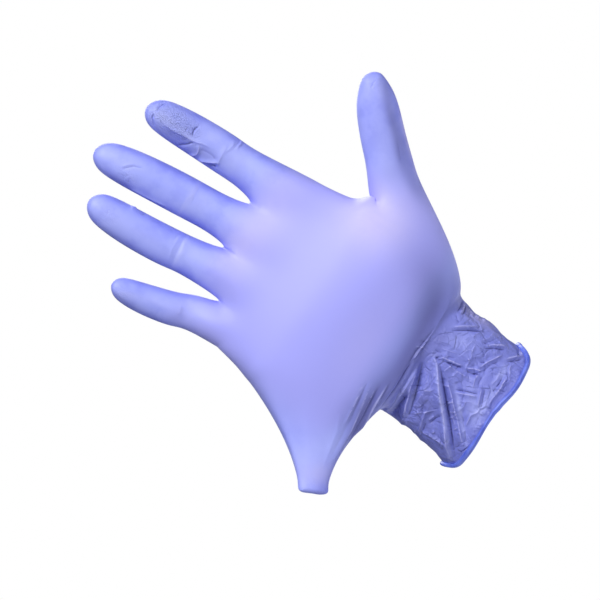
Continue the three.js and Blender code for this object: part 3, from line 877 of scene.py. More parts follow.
CUFF_CREASES = (
    # The long folds from the little finger's corner of the mouth to the middle of the gather
    Crease(
        ((-30, 1.5), (-24.7, 7.2), (-13.1, 18.2), (-4.3, 26.2), (3.6, 32.6), (6.8, 36.4)), 3.9, 3.1, 0.55
    ),
    Crease(((-28.4, 1.2), (-17.9, 11), (-7.2, 20.6), (0.4, 27.8), (5.4, 32.4)), -2.2, 1.4, 0.8),
    Crease(((-22.4, 0.2), (-14.5, 8.2), (-9.7, 13.6), (-3.6, 20), (1.4, 26)), 1.8, 1.8, 0.6),
    Crease(((-21.2, -0.4), (-14.2, 5.8), (-7, 12.6)), -0.9, 1.2),
    # Ridges and hollows below the overhang
    Crease(((-27.4, 31.6), (-17.9, 35.4), (-11, 37.8), (-1, 40)), 2.2, 1.8, 0.7),
    Crease(((-27, 29.6), (-17.9, 32.8), (-9.7, 35.4), (-1, 38.6), (3, 39.8)), -2.4, 1.8),
    Crease(((-28, 41.4), (-15.2, 39.8), (-4.3, 40)), 1.7, 1.4),
    Crease(((-29.5, 37.8), (-22, 37.8), (-12.8, 36.6)), -1.8, 2),
    Crease(((-31, 27.4), (-27.4, 29.6), (-22.5, 31)), 2.2, 2),
    # Short creases on the little finger's side
    Crease(((-21.6, 30.4), (-17.6, 25.6), (-13, 20.8)), 1.1, 0.9, 0.7),
    Crease(((-20, 29), (-16, 24.4), (-12, 20.2)), -0.9, 0.9),
    Crease(((-27, 22.6), (-22.7, 23.9), (-17.9, 25.2), (-15, 25)), 1, 0.81, 1.4),
    Crease(((-26, 21.4), (-21.6, 22.4)), -0.75, 0.81),
    Crease(((-21.6, 20.8), (-17.9, 19.8), (-14.3, 18)), -0.83, 0.72),
    Crease(((-20, 22), (-17, 20.8)), 0.75, 0.72),
    Crease(((-26, 22.5), (-25.2, 14.5), (-24.4, 8.6)), 1.1, 0.81, 0.7),
    Crease(((-27.8, 24), (-27, 14.6)), -0.75, 0.9),
    Crease(((-23.6, 14), (-24, 8.8)), -0.75, 0.63),
    Crease(((-24, 17.4), (-22.6, 16.4)), 0.6, 0.63),
    Crease(((-9.4, 32), (-7.4, 28.2)), 0.68, 0.63),
    Crease(((-20, 31.6), (-10, 31.4)), 0.68, 0.9),
    Crease(((-11, 30.4), (-8.6, 26)), -0.52, 0.72),
    Crease(((-18.4, 10.2), (-15.6, 8.6)), 0.68, 0.63),
    Crease(((-11.6, 16), (-9.4, 13)), 0.68, 0.54),
    Crease(((-8.6, 19.2), (-6.2, 17)), 0.68, 0.54),
    # Star below the gather and the crease that runs down to it
    Crease(((6.6, 36.6), (7, 33.4), (8.8, 25.4), (9.8, 20.6)), -1.2, 0.81, 1.3),
    Crease(((8.2, 34.6), (9.6, 26), (10.6, 21.2)), 0.9, 0.81),
    Crease(((7.2, 31), (6.8, 24), (7, 17)), 0.6, 0.63),
    Crease(((6.4, 35.6), (9.4, 33)), -0.75, 0.54),
    Crease(((10.4, 20.6), (12.4, 16.8), (13.2, 13.2)), 1.1, 0.7, 0.7),
    Crease(((9.2, 19.6), (10.4, 16), (11.8, 12.6)), -0.9, 0.6),
    Crease(((10.4, 20.8), (14.2, 21.2), (15.4, 23.4)), 0.75, 0.72),
    Crease(((3.8, 12.8), (8.8, 14.4), (11, 14)), 0.9, 0.72),
    Crease(((5, 10.6), (8.4, 11.8), (11.4, 12)), -0.7, 0.6),
    Crease(((3.4, 23.6), (7, 23.2)), 0.52, 0.54),
    # Creases on the thumb's side
    Crease(((21.8, 36.2), (25, 31.4), (28.8, 25.2), (31.2, 20.4)), -1.1, 0.7, 1.1),
    Crease(((23.6, 36.6), (26.8, 31.6), (30.4, 25.8)), 1, 0.99),
    Crease(((23.4, 18.2), (25.6, 14.2), (28, 9.4)), -0.9, 0.55),
    Crease(((24.8, 18.4), (27, 14.4), (29, 10.4)), 1.1, 0.81),
    Crease(((14, 15.4), (18, 13.8), (21.4, 11.6), (25, 9.4)), 1.0, 0.7, 0.7),
    Crease(((13.8, 13), (18.4, 11.6), (22, 9)), -0.7, 0.7),
    Crease(((15, 20.6), (18, 22.4), (22.4, 23.2)), 0.75, 0.81),
    Crease(((16.4, 16.8), (17.6, 14.4)), -0.6, 0.54),
    Crease(((25, 22), (28.4, 19), (32, 18.4)), 0.6, 0.72),
    Crease(((24.4, 26), (28, 24.6)), 0.52, 0.72),
    Crease(((23.4, 6.2), (26.2, 3), (29.2, 0)), -0.9, 0.6),
    Crease(((24.6, 6.8), (27.4, 3.8), (30.2, 1.4)), 1, 0.81),
    Crease(((29, 1.6), (32, 3.6), (35, 5.6)), -1.6, 0.9),
    # Low waves above the mouth
    Crease(((-13.4, 5.8), (-7, 6.4), (-4.2, 4.6), (-1.6, 4.2)), 1.1, 0.9, 0.8),
    Crease(((-3.2, 3.8), (2.4, 6), (7, 7.8)), -0.7, 0.7),
    Crease(((-3, 5.4), (2.4, 7.6), (6.6, 9.4)), 0.9, 0.9),
    Crease(((-1, 19.4), (1.2, 14.6), (3, 9.2)), -0.9, 0.6),
    Crease(((-2.2, 19), (0, 13.6), (1.8, 9)), 0.9, 0.72),
    Crease(((-6.6, 11.6), (-3, 12)), 0.52, 0.54),
    Crease(((0.6, 2.2), (6.6, 2), (11.4, 1.6), (17.6, 2)), 1.4, 0.99),
    Crease(((8, 4), (12, 3.6), (16.6, 3.8)), -1, 0.9),
    Crease(((10, 6.4), (14, 5.4), (18.6, 6.2)), 0.75, 0.81),
    Crease(((18.6, 1.2), (21, 3), (23.4, 3.4)), 0.9, 0.81),
    Crease(((-2, -0.4), (2.6, -1.2), (6.6, -1.6)), -1.4, 1.1),
    # Gathers that run in from the thumb's side of the wrist
    Crease(((39, 39.6), (35, 38), (31.4, 38.4)), -0.9, 0.63),
    Crease(((38.4, 37), (34.6, 35.4), (31, 35.4)), -1, 0.54),
    Crease(((38.6, 38.4), (34.8, 36.8), (31.4, 37)), 0.75, 0.54),
    Crease(((37.6, 34), (34, 32.6), (31.6, 33)), -0.68, 0.54),
    Crease(((36.8, 31), (33.4, 30)), -0.68, 0.54),
    Crease(((36.6, 29.4), (33.2, 28.4)), 0.6, 0.54),
    Crease(((36, 26), (33, 25)), 0.75, 0.63),
)

BACK_CREASES = (
    Crease(((-31, 34), (-22, 26), (-12, 12), (-4, 2)), 1.8, 2.6, 0.6, Side.BACK),
    Crease(((-27, 34), (-19, 25), (-9, 10)), -1.0, 1.6, 1.0, Side.BACK),
    Crease(((30, 36), (22, 26), (17, 14), (15, 3)), 1.6, 2.4, 0.6, Side.BACK),
    Crease(((26, 36), (18, 25), (13, 12)), -0.9, 1.5, 1.0, Side.BACK),
    Crease(((2, 39), (4, 28), (1, 17)), 1.0, 1.6, 0.8, Side.BACK),
    Crease(((5, 38), (7.4, 27), (5, 18)), -0.8, 1.1, 1.0, Side.BACK),
    Crease(((-6, 30), (1, 22), (9, 20)), 0.7, 1.2, 0.8, Side.BACK),
    Crease(((-26, 14), (-16, 8), (-8, 9)), 0.8, 1.2, 0.8, Side.BACK),
    Crease(((20, 10), (25, 18), (31, 21)), -0.8, 1.1, 1.0, Side.BACK),
    Crease(((-14, 38), (-11, 30)), 0.7, 1.1, 1.0, Side.BACK),
    Crease(((14, 39), (12, 31)), 0.7, 1.1, 1.0, Side.BACK),
    Crease(((-30, 20), (-24, 22)), -0.7, 1.0, 1.0, Side.BACK),
)

PALM_CREASES = (
    # The edge under which the palm's film turns back to the wrist
    Crease(((-34, 44.6), (-26, 43.4), (-16, 43.2), (-6, 43.8), (0, 43.6)), -1.3, 0.85),
    Crease(((-4, 44.6), (4, 44.8), (12, 43.4), (19, 42.2)), -0.65, 0.59),
    Crease(((0, 42.8), (7, 42.4), (16, 41.6)), -0.59, 0.51),
    Crease(((0, 43.8), (7, 43.6), (14, 42.4)), 0.52, 0.51),
    # Ridges of stretched film that fan out from the pulled end
    Crease(((-60, 49.4), (-44, 50.4), (-30, 52.6), (-20, 54.4)), 0.78, 0.94),
    Crease(((-56, 47.8), (-42, 48.6), (-28, 50.2), (-18, 50.6)), -0.6, 0.8),
    Crease(((-52, 47), (-38, 46.9), (-27, 47.6), (-17.4, 47.8)), 0.91, 0.77),
    Crease(((-46, 45.8), (-34, 45.6), (-22, 45.6)), -0.65, 0.68),
    Crease(((-58, 51.6), (-40, 53.4), (-24, 56.6)), -0.3, 0.9),
    Crease(((-44, 54.6), (-32, 56), (-22, 57.6)), 0.5, 0.5),
    Crease(((-40, 49.2), (-30, 50.4), (-22, 51.6)), 0.5, 0.45),
    Crease(((-38, 51.4), (-28, 52.8), (-19, 54)), -0.28, 0.5),
    Crease(((-36, 46.4), (-26, 46.6), (-14, 46.8)), -0.45, 0.5),
    Crease(((-34, 54.2), (-24, 56.0), (-18, 57)), -0.2, 0.45),
    Crease(((6, 46.6), (7.6, 43), (6.8, 39)), 0.4, 0.5),
    Crease(((9, 46), (10.4, 43), (10, 40)), -0.35, 0.5),
    Crease(((-66, 52), (-48, 56), (-32, 62)), 0.39, 1.4),
    # Pull between the fingers
    Crease(((-3.4, 150), (-2.8, 145), (-2.2, 141.4)), 0.9, 0.59),
    Crease(((-4.6, 149.6), (-4.2, 144)), -0.8, 0.55),
    Crease(((-6.6, 148.4), (-9, 146.4)), 0.39, 0.51),
    Crease(((-28.6, 134), (-30.4, 130)), 0.33, 0.68),
)

DIGIT_CREASES = (
    # Loose film on the index finger's pad
    Crease(((25.6, 208.4), (28.7, 211.1), (31.6, 211.9)), -0.8, 0.5),
    Crease(((32.4, 211.1), (35.6, 211.3), (39, 210)), -0.8, 0.5),
    Crease(((30, 206), (29.5, 200.8), (30.1, 195.5), (30.6, 189), (31.8, 184.4), (32.4, 180)), 0.81, 0.81),
    Crease(((27, 206), (26.6, 198), (27, 190)), -0.45, 2.4),
    Crease(((24.2, 194.2), (26.8, 190.8), (30.2, 188)), -0.72, 0.54),
    Crease(((24, 187.2), (25.4, 184.6), (26.8, 183.8), (30.6, 185)), 0.72, 0.54),
    Crease(((24.4, 182.4), (25.8, 178.5), (28.4, 173)), 1.1, 0.72, 1.3),
    Crease(((23.8, 180), (24.8, 175.6), (26.4, 172.6)), -1.3, 0.81),
    Crease(((29, 184), (29.4, 178), (28.6, 174)), -0.72, 1.4),
    Crease(((32, 190.4), (35.1, 191.2), (38, 190.4)), -0.8, 0.4),
    Crease(((32.4, 194.2), (34.4, 194.6)), -0.45, 0.41),
    Crease(((26, 172.4), (29.4, 173.2), (33.3, 173.5), (37.6, 173.8)), 0.45, 0.63),
    # Bends of the finger joints
    Crease(((39.4, 168.4), (42, 168), (44.8, 168.2)), -0.2, 0.4),
    Crease(((36, 170.8), (40, 170), (44.8, 170.4)), -0.14, 0.45),
    Crease(((38, 169.2), (44.8, 169.2)), 0.3, 0.45),
    Crease(((34, 172.6), (39, 171.8), (42, 172.4)), 0.25, 0.5),
    Crease(((0.6, 209.8), (2.7, 208), (4.9, 205.8), (6.4, 201.8)), -0.36, 0.5),
    Crease(((1.2, 210.8), (3.8, 208.8), (6.1, 206)), 0.25, 0.6),
    Crease(((-3, 207), (0, 206.2)), -0.32, 0.41),
    Crease(((-3.4, 204), (-0.6, 204.6)), -0.32, 0.41),
    Crease(((-4.8, 203), (-3.8, 192), (-2.6, 182)), 0.54, 0.54),
    Crease(((0, 176.6), (8, 176), (15, 176.4)), 0.29, 0.81),
    Crease(((2, 174), (9, 173.4), (15, 174)), -0.22, 0.81),
    Crease(((-24, 167.6), (-18, 169), (-11, 169.4)), 0.2, 0.5),
    Crease(((-25, 165), (-19, 166.4), (-10, 167.2)), -0.16, 0.6),
    Crease(((-20, 164.6), (-16, 164.6), (-12, 166)), 0.25, 0.6),
    Crease(((-14, 171), (-9.4, 169.8)), -0.15, 0.45),
    Crease(((-12.6, 196.6), (-11, 194)), 0.72, 1.1),
    Crease(((-12.4, 190.4), (-10.8, 189)), -0.54, 0.63),
    Crease(((-22, 204), (-18.6, 204.6)), -0.27, 0.45),
    Crease(((-43, 149), (-38, 151)), 0.27, 1.1),
    Crease(((98, 131), (100.4, 131.4), (102.6, 131.2)), -0.36, 0.45),
    Crease(((76, 99.6), (80, 103), (83.4, 106.6)), -0.45, 1.1),
)


def small_creases(count: int, side: Side, seed: int) -> tuple[Crease, ...]:
    """Short bent creases strewn over one side of the cuff, most of them along three directions.

    Args:
        count: How many.
        side: Side of the cuff.
        seed: Seed of their places, directions and sizes.

    Returns:
        Rows of a crease table.
    """
    across, up = (-29, 33), (2, 39)
    headings = (0.8, 1.9, 2.7)
    rng = np.random.default_rng(seed)
    middle = np.stack([rng.uniform(*across, count), rng.uniform(*up, count)], axis=1)
    heading = rng.choice(headings, count) + rng.normal(0, 0.3, count)
    half = rng.uniform(1.4, 4.6, count)[:, None]
    along = np.stack([np.cos(heading), np.sin(heading)], axis=1)
    bend = rng.normal(0, 0.16, count)[:, None] * half * along[:, ::-1] * np.array([-1, 1])
    paths = np.stack([middle - half * along, middle + bend, middle + half * along], axis=1)
    heights = rng.choice([-1, 1], count) * rng.uniform(0.22, 0.55, count)
    widths = rng.uniform(0.4, 0.7, count)
    rows = zip(paths.tolist(), heights.tolist(), widths.tolist())
    return tuple(Crease(tuple(map(tuple, path)), height, wide, 0.8, side) for path, height, wide in rows)


class PolygonBuffer(NamedTuple):
    """Faces of any number of corners: the corners of all of them, and how many each has."""

    corners: Array
    sizes: Array


def ring_faces(rows: int, columns: int) -> PolygonBuffer:
    """Four-sided faces of a grid that closes on itself both ways.

    Args:
        rows: Number of rings.
        columns: Points in a ring.

    Returns:
        The faces.
    """
    number = np.arange(rows * columns).reshape(rows, columns)
    over = np.roll(number, -1, axis=0)
    quads = np.stack([number, over, np.roll(over, -1, axis=1), np.roll(number, -1, axis=1)], axis=-1)
    return PolygonBuffer(quads.ravel(), np.full(rows * columns, 4))


def add_mesh(
    name: str, points: Array, faces: PolygonBuffer, material: bpy.types.Material, values: dict[str, Array]
) -> bpy.types.Object:
    """Smooth-shaded mesh object at the origin, with one number a point for each named attribute.

    Args:
        name: Name of the object.
        points: Places in millimetres.
        faces: Its faces.
        material: Its finish.
        values: Attribute values, one for each point.

    Returns:
        The object.
    """
    used, corners = np.unique(faces.corners, return_inverse=True)
    mesh = bpy.data.meshes.new(name)
    mesh.vertices.add(len(used))
    mesh.vertices.foreach_set("co", (points[used] * MM).astype(np.float32).ravel())
    mesh.loops.add(len(corners))
    mesh.loops.foreach_set("vertex_index", corners.ravel().astype(np.int32))
    mesh.polygons.add(len(faces.sizes))
    starts = np.cumsum(faces.sizes) - faces.sizes
    mesh.polygons.foreach_set("loop_start", starts.astype(np.int32))
    mesh.update(calc_edges=True)
    for key, value in values.items():
        layer = mesh.attributes.new(key, "FLOAT", "POINT")
        layer.data.foreach_set("value", value[used].astype(np.float32))
    mesh.shade_smooth()
    mesh.materials.append(material)
    thing = bpy.data.objects.new(name, mesh)
    bpy.context.scene.collection.objects.link(thing)
    return thing


def report(thing: bpy.types.Object) -> None:
    """Writes the size of a finished piece's mesh to the log.

    Args:
        thing: The piece.
    """
    mesh = thing.data
    mesh.calc_loop_triangles()
    counts = len(mesh.vertices), len(mesh.polygons), len(mesh.loop_triangles)
    LOG.info("%s: %d points, %d faces, %d triangles", thing.name, *counts)


@dataclass(frozen=True)
class Signal:
    """Number in a shader: a socket whose operators add Math nodes."""

    tree: bpy.types.NodeTree
    socket: bpy.types.NodeSocket

    def _math(self, operation: str, first: Any, second: Any) -> Signal:
        """Math node on two values or signals."""
        made = add_node(self.tree, "ShaderNodeMath", {"operation": operation}, {0: first, 1: second})
        return Signal(self.tree, made.outputs[0])

    def __add__(self, other: Any) -> Signal:
        """Sum."""
        return self._math("ADD", self, other)

    def __radd__(self, other: Any) -> Signal:
        """Sum, the other one first."""
        return self._math("ADD", other, self)

    def __sub__(self, other: Any) -> Signal:
        """Difference."""
        return self._math("SUBTRACT", self, other)

    def __rsub__(self, other: Any) -> Signal:
        """Difference, the other one first."""
        return self._math("SUBTRACT", other, self)

    def __abs__(self) -> Signal:
        """Size without its sign."""
        return self._math("ABSOLUTE", self, 0.0)

    def __mul__(self, other: Any) -> Signal:
        """Product."""
        return self._math("MULTIPLY", self, other)

    def __rmul__(self, other: Any) -> Signal:
        """Product, the other one first."""
        return self._math("MULTIPLY", other, self)


def add_node(
    tree: bpy.types.NodeTree,
    kind: str,
    settings: dict[str, Any] | None = None,
    inputs: dict[Any, Any] | None = None,
) -> bpy.types.Node:
    """Any node: its settings first, then the values or links of its sockets.

    Args:
        tree: Tree that it goes into.
        kind: Type of the node.
        settings: Properties of the node.
        inputs: Values, sockets or signals by the socket's name or number.

    Returns:
        The node.
    """
    node = tree.nodes.new(kind)
    for key, value in (settings or {}).items():
        setattr(node, key, value)
    for key, value in (inputs or {}).items():
        source = value.socket if isinstance(value, Signal) else value
        if isinstance(source, bpy.types.NodeSocket):
            tree.links.new(source, node.inputs[key])
        else:
            node.inputs[key].default_value = source
    return node


@dataclass
class Shader:
    """Node tree of one finish under construction."""

    material: bpy.types.Material

    @classmethod
    def named(cls, name: str) -> Shader:
        """A new empty finish of that name.

        Args:
            name: Name of the material.

        Returns:
            The finish under construction.
        """
        material = bpy.data.materials.new(name)
        material.use_nodes = True
        material.node_tree.nodes.clear()
        return cls(material)

    def node(
        self, kind: str, settings: dict[str, Any] | None = None, inputs: dict[Any, Any] | None = None
    ) -> bpy.types.Node:
        """Any node of this finish."""
        return add_node(self.material.node_tree, kind, settings, inputs)

    def signal(self, node: bpy.types.Node, output: Any = 0) -> Signal:
        """A node's output as a number."""
        return Signal(self.material.node_tree, node.outputs[output])

    def attribute(self, name: str) -> Signal:
        """A point attribute of the piece."""
        return self.signal(self.node("ShaderNodeAttribute", {"attribute_name": name}), "Fac")

    def noise(
        self, scale: float, detail: float, roughness: float = 0.5, squeeze: Sequence[float] = (1, 1, 1)
    ) -> Signal:
        """Noise on object coordinates, in cycles a metre, squeezed along the axes.

        Args:
            scale: Cycles to a metre.
            detail: How many finer layers it has.
            roughness: How strong the finer layers are.
            squeeze: How much shorter it is along X, Y and Z.

        Returns:
            The noise, 0 to 1.
        """
        place = self.node("ShaderNodeTexCoord").outputs["Object"]
        mapped = self.node("ShaderNodeMapping", {}, {"Vector": place, "Scale": tuple(squeeze)})
        inputs = {"Vector": mapped.outputs[0], "Scale": scale, "Detail": detail, "Roughness": roughness}
        return self.signal(self.node("ShaderNodeTexNoise", {}, inputs), "Fac")

    def cells(self, scale: float) -> Signal:
        """Distance to the borders of straight-edged cells, so many to the metre, in shares of a cell.

        Args:
            scale: Cells to a metre.

        Returns:
            The distance.
        """
        place = self.node("ShaderNodeTexCoord").outputs["Object"]
        inputs = {"Vector": place, "Scale": scale}
        node = self.node("ShaderNodeTexVoronoi", {"feature": "DISTANCE_TO_EDGE"}, inputs)
        return self.signal(node, "Distance")

    def ramp(self, value: Signal, low: float, high: float) -> Signal:
        """Value spread from low to high over 0 to 1, eased and clipped."""
        inputs = {"Value": value, "From Min": low, "From Max": high}
        return self.signal(self.node("ShaderNodeMapRange", {"interpolation_type": "SMOOTHSTEP"}, inputs))

    def mix(self, share: Signal, first: Any, second: Any) -> bpy.types.NodeSocket:
        """Mix of two colours.

        Args:
            share: Share of the second colour.
            first: A colour or a socket.
            second: A colour or a socket.

        Returns:
            The mixed colour's socket.
        """
        node = self.node("ShaderNodeMix", {"data_type": "RGBA"}, {0: share})
        for key, value in ((6, first), (7, second)):
            if isinstance(value, bpy.types.NodeSocket):
                self.material.node_tree.links.new(value, node.inputs[key])
            else:
                node.inputs[key].default_value = value
        return node.outputs[2]

    def bump(
        self, height: Signal, distance: float, normal: bpy.types.NodeSocket | None = None
    ) -> bpy.types.NodeSocket:
        """Bump of a height of 0 to 1 over a distance in metres, on top of another normal.

        Args:
            height: The height.
            distance: What a height of 1 measures.
            normal: Normal that it is laid on.

        Returns:
            The bent normal's socket.
        """
        inputs: dict[Any, Any] = {"Height": height, "Distance": distance, "Strength": 1.0}
        if normal is not None:
            inputs["Normal"] = normal
        return self.node("ShaderNodeBump", {}, inputs).outputs[0]

    def finish(self, inputs: dict[str, Any]) -> bpy.types.Material:
        """Principled shader on the output, and the finished material.

        Args:
            inputs: The shader's values, sockets or signals by socket name.

        Returns:
            The material.
        """
        shader = self.node("ShaderNodeBsdfPrincipled", {}, inputs)
        self.node("ShaderNodeOutputMaterial", {}, {"Surface": shader.outputs[0]})
        return self.material


@dataclass(frozen=True)
class FilmFinish:
    """Thin nitrile film: violet blue, paler where it is stretched and pinkish where it is thinnest, with
    painted shade and painted highlights in its colour.
    """

    slack: Paint = (122, 129, 211)
    snug: Paint = (160, 170, 250)
    stretched: Paint = (163, 165, 246)
    thin: Paint = (210, 202, 244)
    # Colour of the painted highlights and of the lighter patches over the finger joints
    pale: Paint = (186, 193, 254)
    # Colour of the painted shade on the digits' sides, and of their darker patches
    deep: Paint = (124, 133, 234)
    # Colour of the painted shade on the heel, the wrist, the thumb's outer side, the fingers' sides and the
    # cuff's hollows
    painted_shade: Paint = (103, 107, 176)
    # Colours of the painted highlight on the folds' crests and of the painted shade in their grooves
    crest: Paint = (184, 186, 248)
    creased: Paint = (60, 62, 130)
    # Share of the painted shade on the digits' sides
    painted_side_shade_depth: float = 0.55
    patch_depth: float = 0.35
    # Shares of the painted shade in the folds' grooves and of the painted highlight on their crests
    painted_crease_shade_depth: float = 0.9
    painted_crest_highlight_depth: float = 0.75
    # Share of the painted highlight on the raised dots of crumpled film
    painted_stipple_highlight_depth: float = 0.16
    roughness: float = 0.46
    slack_gloss: float = 0.1
    specular: float = 0.3
    # Heights of the bumps in metres, and how many waves or cells of each texture go to a metre
    crumple_height: float = 0.0011
    wrinkle_height: float = 0.00042
    grain_height: float = 0.00003
    clouds: float = 45
    patches: float = 95
    mottles: float = 260
    ripples: float = 330
    pebbles: float = 820
    grains: float = 2600
    wrinkle_gaps: float = 120
    wide_wrinkles: float = 95
    small_wrinkles: float = 210
    strewn_crumple: float = 0.2

    def _colour(self, shader: Shader, mottle: Signal, stipple: Signal) -> bpy.types.NodeSocket:
        """Colour of the film: slack to snug to stretched, then its patches, zones and creases on top, among
        them painted shade and painted highlights.

        Args:
            shader: Finish under construction.
            mottle: Small spots, 0 to 1.
            stipple: Raised dots of crumpled film, 0 to 1.

        Returns:
            The colour's socket.
        """
        tight = shader.attribute("stretch") + (shader.noise(self.clouds, 4, 0.55) - 0.5) * 0.16
        patches = shader.ramp(shader.noise(self.patches, 3, 0.55), 0.42, 0.68) * shader.attribute("digits")
        thin = shader.attribute("thin")
        fold = shader.attribute("fold")
        layers = (
            (shader.ramp(tight, 0.55, 1.0), self.stretched),
            # Painted shade on the digits' sides, and darker patches of film
            (shader.attribute("painted_side_shade") * self.painted_side_shade_depth + patches * self.patch_depth, self.deep),
            (thin + thin * (mottle - 0.5) * 0.3, self.thin),
            # Painted highlights, and lighter patches over the finger joints
            (shader.attribute("pale"), self.pale),
            # Painted shade from its patches
            (shader.attribute("painted_shade"), self.painted_shade),
            # Painted shade in the grooves and painted highlight on the crests, from how far the film stands
            # above its surroundings
            (shader.ramp(0 - fold, 0.02, 0.45) * self.painted_crease_shade_depth, self.creased),
            (shader.ramp(fold, 0.03, 0.4) * self.painted_crest_highlight_depth, self.crest),
            # Painted highlight on the raised dots of crumpled film
            (stipple * self.painted_stipple_highlight_depth, self.pale),
        )
        colour = shader.mix(shader.ramp(tight, 0.0, 0.55), linear(*self.slack), linear(*self.snug))
        for share, paint in layers:
            colour = shader.mix(share, colour, linear(*paint))
        return colour

    def _relief(self, shader: Shader, pebble: Signal) -> bpy.types.NodeSocket:
        """Bumps of the film: crumples, the broken wrinkles of slack film, and a fine grain.

        Args:
            shader: Finish under construction.
            pebble: Rounded dots, about 0 to 1.

        Returns:
            The normal's socket.
        """
        ripple = shader.noise(self.ripples, 3, 0.6, (1, 1, 0.7))
        broken = shader.ramp(shader.noise(self.wrinkle_gaps, 2), 0.42, 0.6) * shader.attribute("slack")
        wide = shader.ramp(shader.cells(self.wide_wrinkles), 0.0, 0.07)
        small = shader.ramp(shader.cells(self.small_wrinkles), 0.0, 0.1)
        crumpled = (pebble * 0.5 + ripple * 0.8) * shader.attribute("crumple")
        normal = shader.bump(crumpled, self.crumple_height)
        normal = shader.bump((wide + small * 0.4) * broken, self.wrinkle_height, normal)
        return shader.bump(shader.noise(self.grains, 2), self.grain_height, normal)

    def material(self) -> bpy.types.Material:
        """The finish as a material.

        Returns:
            The material.
        """
        shader = Shader.named("nitrile_film_violet_blue")
        mottle = shader.noise(self.mottles, 3, 0.6)
        pebble = 1 - abs(shader.noise(self.pebbles, 2, 0.5, (1, 1, 1.5)) - 0.5) * 4
        crumple = shader.attribute("crumple") - self.strewn_crumple
        stipple = shader.ramp(pebble, 0.35, 0.95) * crumple
        gloss = shader.attribute("slack") * self.slack_gloss
        return shader.finish(
            {
                "Base Color": self._colour(shader, mottle, stipple),
                "Roughness": self.roughness + (mottle - 0.5) * 0.1 - gloss,
                "Specular IOR Level": self.specular,
                "Normal": self._relief(shader, pebble),
            }
        )


@dataclass(frozen=True)
class BeadFinish:
    """Rolled nitrile of the bead: many layers of film, so a deeper blue than one, with painted shade in the
    grooves between its turns.
    """

    deep: Paint = (78, 96, 206)
    pale: Paint = (112, 130, 232)
    # Colour and share of the painted shade in the grooves between the bead's turns
    groove: Paint = (52, 66, 160)
    groove_depth: float = 0.6
    roughness: float = 0.38
    clouds: float = 140
    grains: float = 900
    grain_height: float = 0.00008

    def material(self) -> bpy.types.Material:
        """The finish as a material.

        Returns:
            The material.
        """
        shader = Shader.named("nitrile_bead_deep_blue")
        cloud = shader.noise(self.clouds, 3)
        colour = shader.mix(shader.ramp(cloud, 0.3, 0.7), linear(*self.deep), linear(*self.pale))
        # Painted shade in the grooves between the turns
        colour = shader.mix(shader.attribute("groove") * self.groove_depth, colour, linear(*self.groove))
        normal = shader.bump(shader.noise(self.grains, 3), self.grain_height)
        roughness = self.roughness + (cloud - 0.5) * 0.12
        return shader.finish({"Base Color": colour, "Roughness": roughness, "Normal": normal})


@dataclass(frozen=True)
class FloorFinish:
    """Pale matt studio floor."""

    colour: Paint = (238, 238, 240)
    paler: Paint = (246, 246, 247)
    clouds: float = 6
    roughness: float = 0.8

    def material(self) -> bpy.types.Material:
        """The finish as a material.

        Returns:
            The material.
        """
        shader = Shader.named("studio_floor_pale")
        colour = shader.mix(shader.noise(self.clouds, 2), linear(*self.colour), linear(*self.paler))
        return shader.finish({"Base Color": colour, "Roughness": self.roughness})


@dataclass(frozen=True)
class Fineness:
    """Where the film's faces are cut finer: bounds of its parts in mm, and weights of its bends."""

    round_below: float = 0.55
    cuff_below: float = 58
    fingers_above: float = 126
    thumb_beyond: float = 58
    pull_beyond: float = 40
    folds_below: float = 48
    fan_below: float = 60
    fan_beyond: float = 14
    crease_margin: float = 0.6
    least_bend: float = 0.05
    front_weight: float = 1.5
    back_weight: float = 0.8
    digit_weight: float = 4.0
    sharpest: int = 6600


